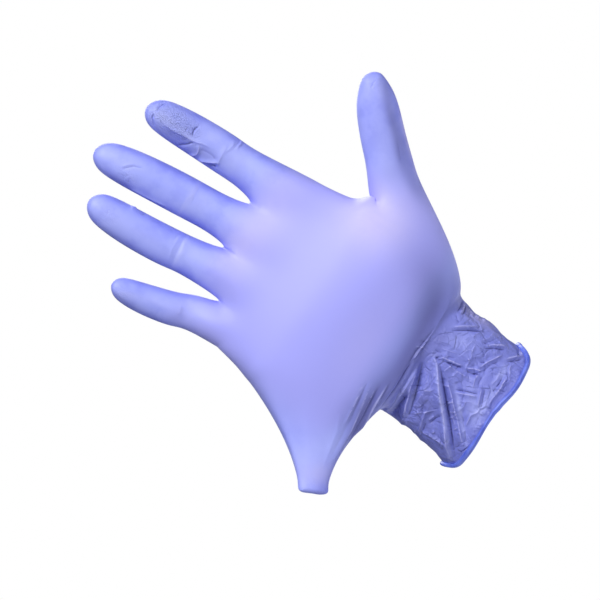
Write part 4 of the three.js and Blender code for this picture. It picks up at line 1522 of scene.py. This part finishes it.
@dataclass
class GloveFilm:
    """The film: its outer face with all creases, and the inner face that gives it its thickness."""

    form: HandForm
    finish: FilmFinish
    thickness: float = 0.8
    mouth_thickness: float = 0.35
    first_depth: int = 2
    last_depth: int = 5
    fineness: Fineness = Fineness()
    palm_hold: float = 0.003
    # Heights in mm over which the slack film ends, the tight film of the palm begins and the fingers' begins
    slack_span: tuple[float, float] = (34, 46)
    palm_span: tuple[float, float] = (36, 66)
    finger_span: tuple[float, float] = (128, 168)
    # How far out in mm the pulled film and the thumb's film begin, and how the thumb leans
    pull_span: tuple[float, float] = (34, 74)
    thumb_span: tuple[float, float] = (50, 78)
    thumb_lean: float = 0.35
    thumb_root_height: float = 100
    broad_height: float = 0.5
    facet_height: float = 0.22
    dent_most: float = 9.0
    fold_rounds: int = 14
    # Patch between the thumb and the index finger that counts as a digit, so that painted shade darkens its
    # highlight
    painted_web_shade: Zone = Zone(53, 106, 6, 7, 0, 1)
    creases: tuple[Crease, ...] = (
        CUFF_CREASES
        + BACK_CREASES
        + PALM_CREASES
        + DIGIT_CREASES
        + small_creases(90, Side.PALM, 21)
        + small_creases(80, Side.BACK, 22)
    )
    thin_zones: tuple[Zone, ...] = (
        Zone(47, 95, 15, 17, 20, 0.75),
        Zone(12, 104, 40, 30, 0, 0.04),
        Zone(18, 140, 24, 12, 0, 0.3),
        Zone(-2, 143, 14, 9, 0, 0.22),
        Zone(-70, 53, 6, 9, 35, 0.3),
        Zone(-8, 68, 20, 10, 0, 0.1),
        Zone(35, 28, 3.5, 10, 0, 0.4),
        Zone(86.5, 102.5, 1.5, 13, -42, 0.4),
        Zone(73, 83, 1.8, 9, -28, 0.35),
    )
    dents: tuple[Zone, ...] = (Zone(25, 47, 15, 7, 8, 3.2),)
    # Patches of painted shade on the heel and the palm's lower edge, the fingers' sides, the thumb's outer
    # side and the cuff's hollows and folds
    painted_shade_zones: tuple[Zone, ...] = (
        Zone(22, 50, 27, 10, 14, 0.55),
        Zone(27, 47, 12, 6, 14, 0.25),
        Zone(46, 70, 14, 26, -32, 0.2),
        Zone(-6, 46, 27, 5.5, 0, 0.7),
        Zone(-4, 53, 26, 7, 0, 0.22),
        Zone(27.5, 183, 2.6, 10, 12, 0.4),
        Zone(26.5, 201, 2.2, 9, 0, 0.3),
        Zone(-5, 208, 2.0, 8, 4, 0.35),
        Zone(-52, 176, 1.8, 8, 8, 0.3),
        Zone(-21, 36.5, 7, 2, 8, 0.4),
        Zone(-10.2, 15.2, 1.2, 17, -48, 0.4),
        Zone(-17.5, 24, 3, 8, -40, 0.25),
        Zone(-25, 14, 2.5, 10, 0, 0.25),
        Zone(26, 6, 3, 8, 30, 0.25),
        Zone(33, 14, 2, 14, 0, 0.2),
        Zone(91, 115, 2.6, 13, -42, 0.6),
        Zone(79.5, 102, 3.4, 9, -46, 0.55),
        Zone(70.5, 89, 4.0, 10, -28, 0.4),
        Zone(102, 125, 2.4, 6, -45, 0.35),
        Zone(69, 101, 5, 7, -40, 0.2),
        Zone(-34, 51, 20, 6, 6, 0.62),
        Zone(-38, 58, 10, 5, 0, 0.2),
        Zone(82, 113, 8, 14, -42, 0.1),
        Zone(-46, 48.2, 22, 2.6, 3, 0.5),
        Zone(38, 62, 10, 12, -20, 0.16),
        Zone(15, 38, 8, 3, 0, 0.4),
        Zone(-14, 29, 8, 5, 15, 0.4),
    )
    # Patches of painted highlight on the cuff's ridges, along the fingers and on the thumb, and lighter
    # patches over the finger joints
    painted_highlight_zones: tuple[Zone, ...] = (
        Zone(35, 166, 7, 8, 0, 0.5),
        Zone(37, 182, 5, 7, -10, 0.35),
        Zone(32, 208, 2.5, 7, 0, 0.5),
        Zone(31, 192, 1.6, 9, -6, 0.35),
        Zone(8, 170.5, 6, 8, 0, 0.4),
        Zone(6, 175.3, 9, 1.0, 0, 0.5),
        Zone(3, 213, 5, 12, 10, 0.3),
        Zone(-15, 161, 6, 6, 0, 0.35),
        Zone(-17, 165.2, 7, 0.9, 8, 0.65),
        Zone(-20, 203, 5, 9, 0, 0.25),
        Zone(-43, 161, 2.2, 8, 12, 0.5),
        Zone(-48, 175, 2.2, 7, 14, 0.45),
        Zone(-20, 185, 4, 22, 6, 0.25),
        Zone(-37, 143, 6, 9, 10, 0.4),
        Zone(101, 127, 4, 8, -45, 0.35),
        Zone(74, 108, 5, 12, -38, 0.3),
        Zone(-60, 58, 7, 16, 55, 0.35),
        Zone(-13.2, 18.2, 1.1, 20, -48, 0.75),
        Zone(-11, 9.6, 1.1, 14, -47, 0.55),
        Zone(-2, 9, 3, 9, -50, 0.3),
        Zone(-1, 4, 8, 2.6, 0, 0.4),
        Zone(16, 5, 7, 1.6, 4, 0.35),
        Zone(20, 30, 5, 8, 25, 0.22),
        Zone(-17, 39.9, 8, 0.9, 3, 0.6),
        Zone(-16, 33.8, 9, 0.9, 16, 0.5),
        Zone(-24, 43.4, 9, 0.8, -4, 0.35),
    )
    crumple_zones: tuple[Zone, ...] = (
        Zone(33.5, 201, 5.5, 11, 0, 1.8),
        Zone(-2, 206, 4, 6, 0, 0.45),
        Zone(-20, 203, 7, 5, 0, 0.25),
        Zone(-50, 178, 4, 6, 0, 0.3),
        Zone(101, 131, 6, 4, 0, 0.3),
        Zone(36, 36, 6, 7, 0, 0.5),
    )

    def _lift(self, points: Array, normals: Array, above: Array) -> Array:
        """How far every point is lifted along its normal: creases, and the cuff's slack waves and facets.

        Args:
            points: Places on the film.
            normals: Outward directions there.
            above: Height of each point above the mouth's edge, towards which the creases fade.

        Returns:
            One lift in mm for each point.
        """
        lift = crease_lift(points, normals, self.creases) * lerp(0.2, 1.0, smoothstep(above, 0.0, 4.0))
        slack = smoothstep(points[:, 2], 1, 9) * (1 - smoothstep(points[:, 2], *self.slack_span))
        broad = waves(points, length=17, count=14, seed=3, stretch=(1, 1, 1.3))
        facets = 0.6 - np.abs(waves(points, length=10, count=18, seed=5))
        dents = self._zones(points, normals, self.dents, self.dent_most)
        return lift + slack * (self.broad_height * broad + self.facet_height * facets) - dents

    def _up_thumb(self, points: Array) -> Array:
        """How far out each point lies along the thumb, which leans outwards as it rises."""
        return points[:, 0] + self.thumb_lean * (points[:, 2] - self.thumb_root_height)

    def _tension(self, points: Array) -> Array:
        """How tight the film is: slack at the cuff, snug on the digits, stretched over the palm.

        Args:
            points: Places on the film.

        Returns:
            One tightness for each point, 0 to 1.
        """
        palm = smoothstep(points[:, 2], *self.palm_span)
        fingers = smoothstep(points[:, 2], *self.finger_span)
        pulled = smoothstep(-points[:, 0], *self.pull_span)
        thumb = smoothstep(self._up_thumb(points), *self.thumb_span)
        return palm * (1 - 0.4 * np.clip(np.maximum(fingers, pulled) + 0.8 * thumb, 0, 1))

    def _zones(self, points: Array, normals: Array, zones: Sequence[Zone], most: float = 1.0) -> Array:
        """Sum of soft patches on the palm side, up to a most.

        Args:
            points: Places on the film.
            normals: Outward directions there.
            zones: The patches.
            most: Highest sum.

        Returns:
            One sum for each point.
        """
        facing = smoothstep(-normals[:, 1], 0.0, 0.4)
        return facing * np.clip(sum(zone.cover(points) for zone in zones), 0, most)

    def _faired_net(self) -> Net:
        """The form's net at the inner face's fineness, with the palm's film evened out as a pull does it.

        Returns:
            The net.
        """
        net = self.form.net()
        for _ in range(self.first_depth):
            net = net.refined()
        # The film is let go on the palm's face, from the wrist to the roots of the fingers, short of the
        # thumb and of the pulled end
        x, _, z = net.points.T
        facing = smoothstep(-net.normals()[:, 1], 0.1, 0.5)
        lower = 7 * smoothstep(x, 0, 14)
        along = smoothstep(z + lower, 47, 56) * (1 - smoothstep(z, 132, 146))
        across = (1 - smoothstep(x, 66, 82)) * smoothstep(x, -70, -52)
        return net.faired(1.0 - (1.0 - self.palm_hold) * facing * along * across)

    def _wanted(self, level: int, net: Net, points: Array, normals: Array, lift: Array) -> Array:
        """Which faces of a net are cut into four: round parts first, creased ones next, sharp folds last.

        Args:
            level: How often the net has been cut past the first depth.
            net: The net.
            points: Places of the finest net's points, of which the net's own come first.
            normals: Outward directions there.
            lift: How far the creases lift each point.

        Returns:
            One flag for each face.
        """
        fine = self.fineness
        middles = points[net.faces].mean(axis=1)
        x, _, z = middles.T
        outward = normals[net.faces[:, 0], 1]
        front = outward < 0.1
        if level == 0:
            ends = (z > fine.fingers_above) | (x > fine.thumb_beyond) | (-x > fine.pull_beyond)
            return (np.abs(outward) < fine.round_below) | (z < fine.cuff_below) | (ends & front)
        bend = net.bend(lift[: len(net.points)])[net.faces].max(axis=1)
        creased = front & beside_creases(middles, DIGIT_CREASES, fine.crease_margin)
        if level == 1:
            fan = (-x > fine.fan_beyond) & (z < fine.fan_below) & front
            return ((z < fine.folds_below) & (front | (bend > fine.least_bend))) | fan | creased
        bend = bend * np.where(front, fine.front_weight, fine.back_weight)
        bend = bend * np.where(creased, fine.digit_weight, 1.0)
        return bend > np.partition(bend, -fine.sharpest)[-fine.sharpest]

    def _outer_faces(
        self, nets: Sequence[Net], points: Array, normals: Array, lift: Array
    ) -> PolygonBuffer:
        """Outer faces of mixed fineness that close up without gaps.

        Each net's wanted faces are cut into the next net's. A face that stays whole takes in the middles of
        the edges that it shares with cut ones, and the faces on the border of the last cut stay whole, so
        that neighbours differ by one cut at most.

        Args:
            nets: The nets, each one cut from the one before it.
            points: Places of the last net's points.
            normals: Outward directions there.
            lift: How far the creases lift each point.

        Returns:
            The faces.
        """
        corners, sizes = [], []
        active = np.arange(len(nets[0].faces))
        for level, net in enumerate(nets[:-1]):
            edges = net.edges_of_faces[active]
            count = len(net.open_edges)
            shared = (np.bincount(edges.ravel(), minlength=count) == 2) | net.open_edges
            chosen = self._wanted(level, net, points, normals, lift)[active] & shared[edges].all(axis=1)
            cut = np.bincount(edges[chosen].ravel(), minlength=count) > 0
            middles = np.where(cut[edges], len(net.points) + len(net.faces) + edges, -1)
            whole = np.stack([net.faces[active], middles], axis=-1).reshape(-1, 8)[~chosen]
            corners.append(whole[whole >= 0])
            sizes.append((whole >= 0).sum(axis=1))
            active = (4 * active[chosen][:, None] + np.arange(4)).ravel()
        corners.append(nets[-1].faces[active].ravel())
        sizes.append(np.full(len(active), 4))
        return PolygonBuffer(np.concatenate(corners), np.concatenate(sizes))

    def _inner_points(self, nets: Sequence[Net], flat: Array, normals: Array, lift: Array) -> Array:
        """Points of the inner face: below the film by its thickness, and below its deepest groove nearby.

        Args:
            nets: The nets, the coarsest first.
            flat: Places of the finest net's points without creases.
            normals: Outward directions there.
            lift: How far the creases lift each point.

        Returns:
            One row for each point of the coarsest net.
        """
        first, last = nets[0], nets[-1]
        count = len(first.points)
        lowest = lift[last.faces].min(axis=1).reshape(len(first.faces), -1).min(axis=1)
        below = np.zeros(count)
        np.minimum.at(below, first.faces, lowest[:, None])
        thickness = lerp(self.mouth_thickness, self.thickness, smoothstep(flat[:count, 2], 0, 10))
        return flat[:count] + normals[:count] * (below - thickness)[:, None]

    def _rim_faces(self, chain: Array, first_inner: int, count: int) -> PolygonBuffer:
        """Faces that close the film's edge, each from one point of the inner face's edge to the next.

        Args:
            chain: The outer face's edge points, clockwise seen from above.
            first_inner: Number of the inner face's first point.
            count: Number of the inner face's points, which have partners among the outer face's first ones.

        Returns:
            The faces.
        """
        chain = np.roll(chain, -np.flatnonzero(chain < count)[0])
        starts = np.flatnonzero(chain < count)
        ends = np.append(starts[1:], len(chain))
        near, far = chain[starts], np.roll(chain[starts], -1)
        closing = np.stack([far, far + first_inner, near + first_inner], axis=1)
        return PolygonBuffer(np.insert(chain, np.repeat(ends, 3), closing.ravel()), ends - starts + 3)

    def _shades(self, places: Array, facing: Array, fold: Array) -> dict[str, Array]:
        """Point attributes that the finish reads.

        Args:
            places: Places on the film.
            facing: Outward directions there.
            fold: How far each point stands above the film around it.

        Returns:
            Values for each point by the attribute's name.
        """
        slack = 1 - smoothstep(places[:, 2], *self.slack_span)
        fingers = smoothstep(places[:, 2], 126, 158)
        thumb = smoothstep(self._up_thumb(places), 56, 78)
        pulled = 0.6 * smoothstep(-places[:, 0], 46, 66)
        # The web between the thumb and the index finger takes painted shade like a digit's side
        digits = np.clip(fingers + thumb + pulled + self.painted_web_shade.cover(places), 0, 1)
        # Where the thumb faces the key light, its sides get no painted shade
        lit = smoothstep(places[:, 0], 56, 66) * smoothstep(facing[:, 2] - facing[:, 0], -0.2, 0.5)
        crumples = self._zones(places, facing, self.crumple_zones)
        return {
            "fold": fold,
            "slack": slack,
            "digits": digits,
            # Painted shade on the digits' sides, where they turn away from the front
            "painted_side_shade": digits * smoothstep(1 - np.abs(facing[:, 1]), 0.0, 0.45) * (1 - lit),
            "stretch": self._tension(places),
            "thin": self._zones(places, facing, self.thin_zones),
            # Painted shade in soft patches
            "painted_shade": self._zones(places, facing, self.painted_shade_zones),
            # Painted highlights, and lighter patches over the finger joints
            "pale": self._zones(places, facing, self.painted_highlight_zones),
            "crumple": self.finish.strewn_crumple * slack + crumples,
        }

    def build(self) -> tuple[bpy.types.Object, Array, Array]:
        """Builds and dresses the film.

        Returns:
            Its object, and the places and outward directions of the film's edge in order round the mouth.
        """
        nets = [self._faired_net()]
        for _ in range(self.last_depth - self.first_depth):
            nets.append(nets[-1].refined())
        coarse, fine = nets[0], nets[-1]
        flat = fine.smoothed()
        normals = fine.normals(flat)
        around = np.arctan2(flat[:, 1], flat[:, 0])
        order = fine.rim[np.argsort(around[fine.rim])]
        above = flat[:, 2] - np.interp(around, around[order], flat[order, 2], period=2 * np.pi)
        lift = self._lift(flat, normals, above)
        inner = self._inner_points(nets, flat, normals, lift)
        points = flat + normals * lift[:, None]

        first_inner, count = len(points), len(inner)
        outer = self._outer_faces(nets, points, normals, lift)
        turned = PolygonBuffer(coarse.faces[:, ::-1].ravel() + first_inner, np.full(len(coarse.faces), 4))
        edge = self._rim_faces(order[np.isin(order, outer.corners)][::-1], first_inner, count)
        faces = PolygonBuffer(*(np.concatenate(parts) for parts in zip(outer, turned, edge)))

        normals = fine.normals(points)
        # How far each point stands above the film around it, which the finish paints as shade in grooves and
        # highlight on crests
        fold = np.concatenate([lift - fine.blurred(lift, self.fold_rounds), np.zeros(count)])
        places = np.concatenate([points, inner])
        facing = np.concatenate([normals, -normals[:count]])
        values = self._shades(places, facing, fold)
        film = add_mesh("film_outer", places, faces, self.finish.material(), values)
        is_smooth = np.arange(len(faces.sizes)) < len(faces.sizes) - len(edge.sizes)
        film.data.polygons.foreach_set("use_smooth", is_smooth)
        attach(film, "root")
        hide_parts("glove_shell")
        return film, points[order], normals[order]


class Groove(NamedTuple):
    """Groove between two turns of the bead: its place round the profile and width in radians, its share."""

    turn: float
    wide: float
    share: float


@dataclass
class CuffBead:
    """Rolled bead: a round profile with the grooves of its turns, carried round the film's edge."""

    finish: BeadFinish
    radius: float = 1.28
    seat: float = 0.78
    outset: float = 0.3
    unevenness: float = 0.07
    groove_depth: float = 0.17
    groove_wander: float = 0.18
    sides: int = 28
    grooves: tuple[Groove, ...] = (Groove(0.5, 0.26, 1.0), Groove(-1.1, 0.2, 0.5))

    def _groove_share(self, edge: Array, turn: Array) -> Array:
        """How deep in a groove each point lies: the sum of share * exp(-(angle away / width) ** 2).

        Args:
            edge: Places of the film's edge.
            turn: Angles of the profile's points.

        Returns:
            One share for each place and angle.
        """
        wander = self.groove_wander * waves(edge, length=40, count=7, seed=13)[:, None]
        total = np.zeros((len(edge), len(turn)))
        for groove in self.grooves:
            away = np.angle(np.exp(1j * (turn[None] - groove.turn - wander)))
            total += groove.share * np.exp(-((away / groove.wide) ** 2))
        return total

    def build(self, edge: Array, outward: Array) -> bpy.types.Object:
        """Builds and dresses the bead.

        Args:
            edge: Places of the film's edge in order round the mouth.
            outward: Outward directions of the film there.

        Returns:
            The bead's object.
        """
        tangent = unit(np.roll(edge, -2, axis=0) - np.roll(edge, 2, axis=0))
        onward = unit(np.cross(tangent, outward))
        onward *= -np.sign(onward[:, 2:3])
        out = unit(outward - tangent * (outward * tangent).sum(axis=1, keepdims=True))
        uneven = self.unevenness * waves(edge, length=22, count=9, seed=11)
        size = self.radius * (1 + uneven)[:, None, None]
        turn = 2 * np.pi * np.arange(self.sides) / self.sides
        groove = self._groove_share(edge, turn)
        reach = size * (1 - self.groove_depth * groove)[..., None]
        middle = edge + onward * self.radius * self.seat + out * self.radius * self.outset
        round_ = np.cos(turn)[:, None] * out[:, None] + np.sin(turn)[:, None] * onward[:, None]
        points = (middle[:, None] + reach * round_).reshape(-1, 3)
        faces = ring_faces(len(edge), self.sides)
        quads = faces.corners.reshape(-1, 4)
        a, b, c, _ = (points[quads[:, k]] for k in range(4))
        centre = np.repeat(middle, self.sides, axis=0)
        # The faces are turned round if they look inwards
        if (np.cross(b - a, c - a) * (a - centre)).sum() < 0:
            faces = PolygonBuffer(quads[:, ::-1].ravel(), faces.sizes)
        # The grooves' shares also tell the finish where it paints shade
        bead = add_mesh("rolled_bead", points, faces, self.finish.material(), {"groove": groove.ravel()})
        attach(bead, "root")
        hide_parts("cuff_bead")
        return bead


@dataclass
class Lamp:
    """Soft area light: where it stands, what it points at, its size and its power."""

    name: str
    place: tuple[float, float, float]
    size: float
    power: float
    tint: tuple[float, float, float] = (1.0, 1.0, 1.0)

    def build(self, target: Vector) -> None:
        """Puts the light up.

        Args:
            target: Place that it points at.
        """
        data = bpy.data.lights.new(self.name, "AREA")
        data.shape = "DISK"
        data.size = self.size
        data.energy = self.power
        data.color = self.tint
        lamp = bpy.data.objects.new(self.name, data)
        lamp.location = self.place
        lamp.rotation_euler = (target - Vector(self.place)).to_track_quat("-Z", "Y").to_euler()
        bpy.context.scene.collection.objects.link(lamp)


@dataclass
class Studio:
    """White surround, pale floor, soft lights and the camera at the photo's angle."""

    target: tuple[float, float, float] = (-0.0054, 0.0, 0.1045)
    frame_width: float = 0.288
    distance: float = 2.4
    right: tuple[float, float, float] = (0.5446, 0.0, -0.8387)
    surround: float = 0.05
    floor_level: float = -0.2
    floor_radius: float = 0.8
    floor_sides: int = 96
    floor_rings: int = 12
    lamps: tuple[Lamp, ...] = (
        Lamp("key_softbox", (0.136, -0.914, 1.286), 0.8, 19.6),
        Lamp("upper_softbox", (0.884, -1.061, 0.682), 0.8, 4.8),
        Lamp("side_softbox", (1.135, -0.308, 1.028), 0.8, 4.2),
        Lamp("left_softbox", (-1.15, -0.6, 0.25), 0.8, 2.2),
        Lamp("back_fill", (0.3, 1.3, 0.9), 1.2, 15.0),
    )
    floor_finish: FloorFinish = FloorFinish()

    def _camera(self) -> None:
        """Camera that looks along +Y with the photo's roll."""
        data = bpy.data.cameras.new("photo_camera")
        data.sensor_width = 36.0
        data.lens = data.sensor_width * self.distance / self.frame_width
        data.clip_start, data.clip_end = 0.1, 20.0
        camera = bpy.data.objects.new("photo_camera", data)
        right, back = Vector(self.right), Vector((0, -1, 0))
        turn = Matrix((right, back.cross(right), back)).transposed().to_4x4()
        camera.matrix_world = Matrix.Translation(Vector(self.target) + back * self.distance) @ turn
        bpy.context.scene.collection.objects.link(camera)
        bpy.context.scene.camera = camera

    def _world(self) -> None:
        """Surround that the camera sees as white paper and that lights the glove less strongly."""
        world = bpy.data.worlds.new("white_surround")
        bpy.context.scene.world = world
        world.use_nodes = True
        tree = world.node_tree
        tree.nodes.clear()
        seen = add_node(tree, "ShaderNodeLightPath").outputs["Is Camera Ray"]
        strength = Signal(tree, seen) * (1.0 - self.surround) + self.surround
        light = add_node(tree, "ShaderNodeBackground", {}, {"Color": (1, 1, 1, 1), "Strength": strength})
        add_node(tree, "ShaderNodeOutputWorld", {}, {"Surface": light.outputs[0]})

    def _floor(self) -> None:
        """Round floor: rings of points on a grid of angle and radius, closed at the middle."""
        sides, rings = self.floor_sides, self.floor_rings
        angle = np.linspace(0, 2 * np.pi, sides, endpoint=False)
        radius = np.linspace(self.floor_radius / rings, self.floor_radius, rings)[:, None] / MM
        level = np.full((rings, sides), self.floor_level / MM)
        points = np.stack([radius * np.cos(angle), radius * np.sin(angle), level], axis=-1).reshape(-1, 3)
        near = np.arange((rings - 1) * sides).reshape(rings - 1, sides)
        onward = np.roll(near, -1, axis=1)
        quads = np.stack([near, near + sides, onward + sides, onward], axis=-1)
        corners = np.concatenate([quads.ravel(), np.arange(sides)])
        faces = PolygonBuffer(corners, np.concatenate([np.full(near.size, 4), [sides]]))
        floor = add_mesh("studio_floor", points, faces, self.floor_finish.material(), {})

    def build(self) -> None:
        """Puts up the whole studio."""
        self._camera()
        self._world()
        self._floor()
        for lamp in self.lamps:
            lamp.build(Vector(self.target))
        view = bpy.context.scene.view_settings
        view.view_transform = "Standard"
        view.look = "None"


def main() -> None:
    """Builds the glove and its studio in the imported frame."""
    logging.basicConfig(level=logging.INFO, format="%(name)s: %(message)s")
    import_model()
    Studio().build()
    film, edge, outward = GloveFilm(HandForm(), FilmFinish()).build()
    report(film)
    report(CuffBead(BeadFinish()).build(edge, outward))


if __name__ == "__main__":
    main()
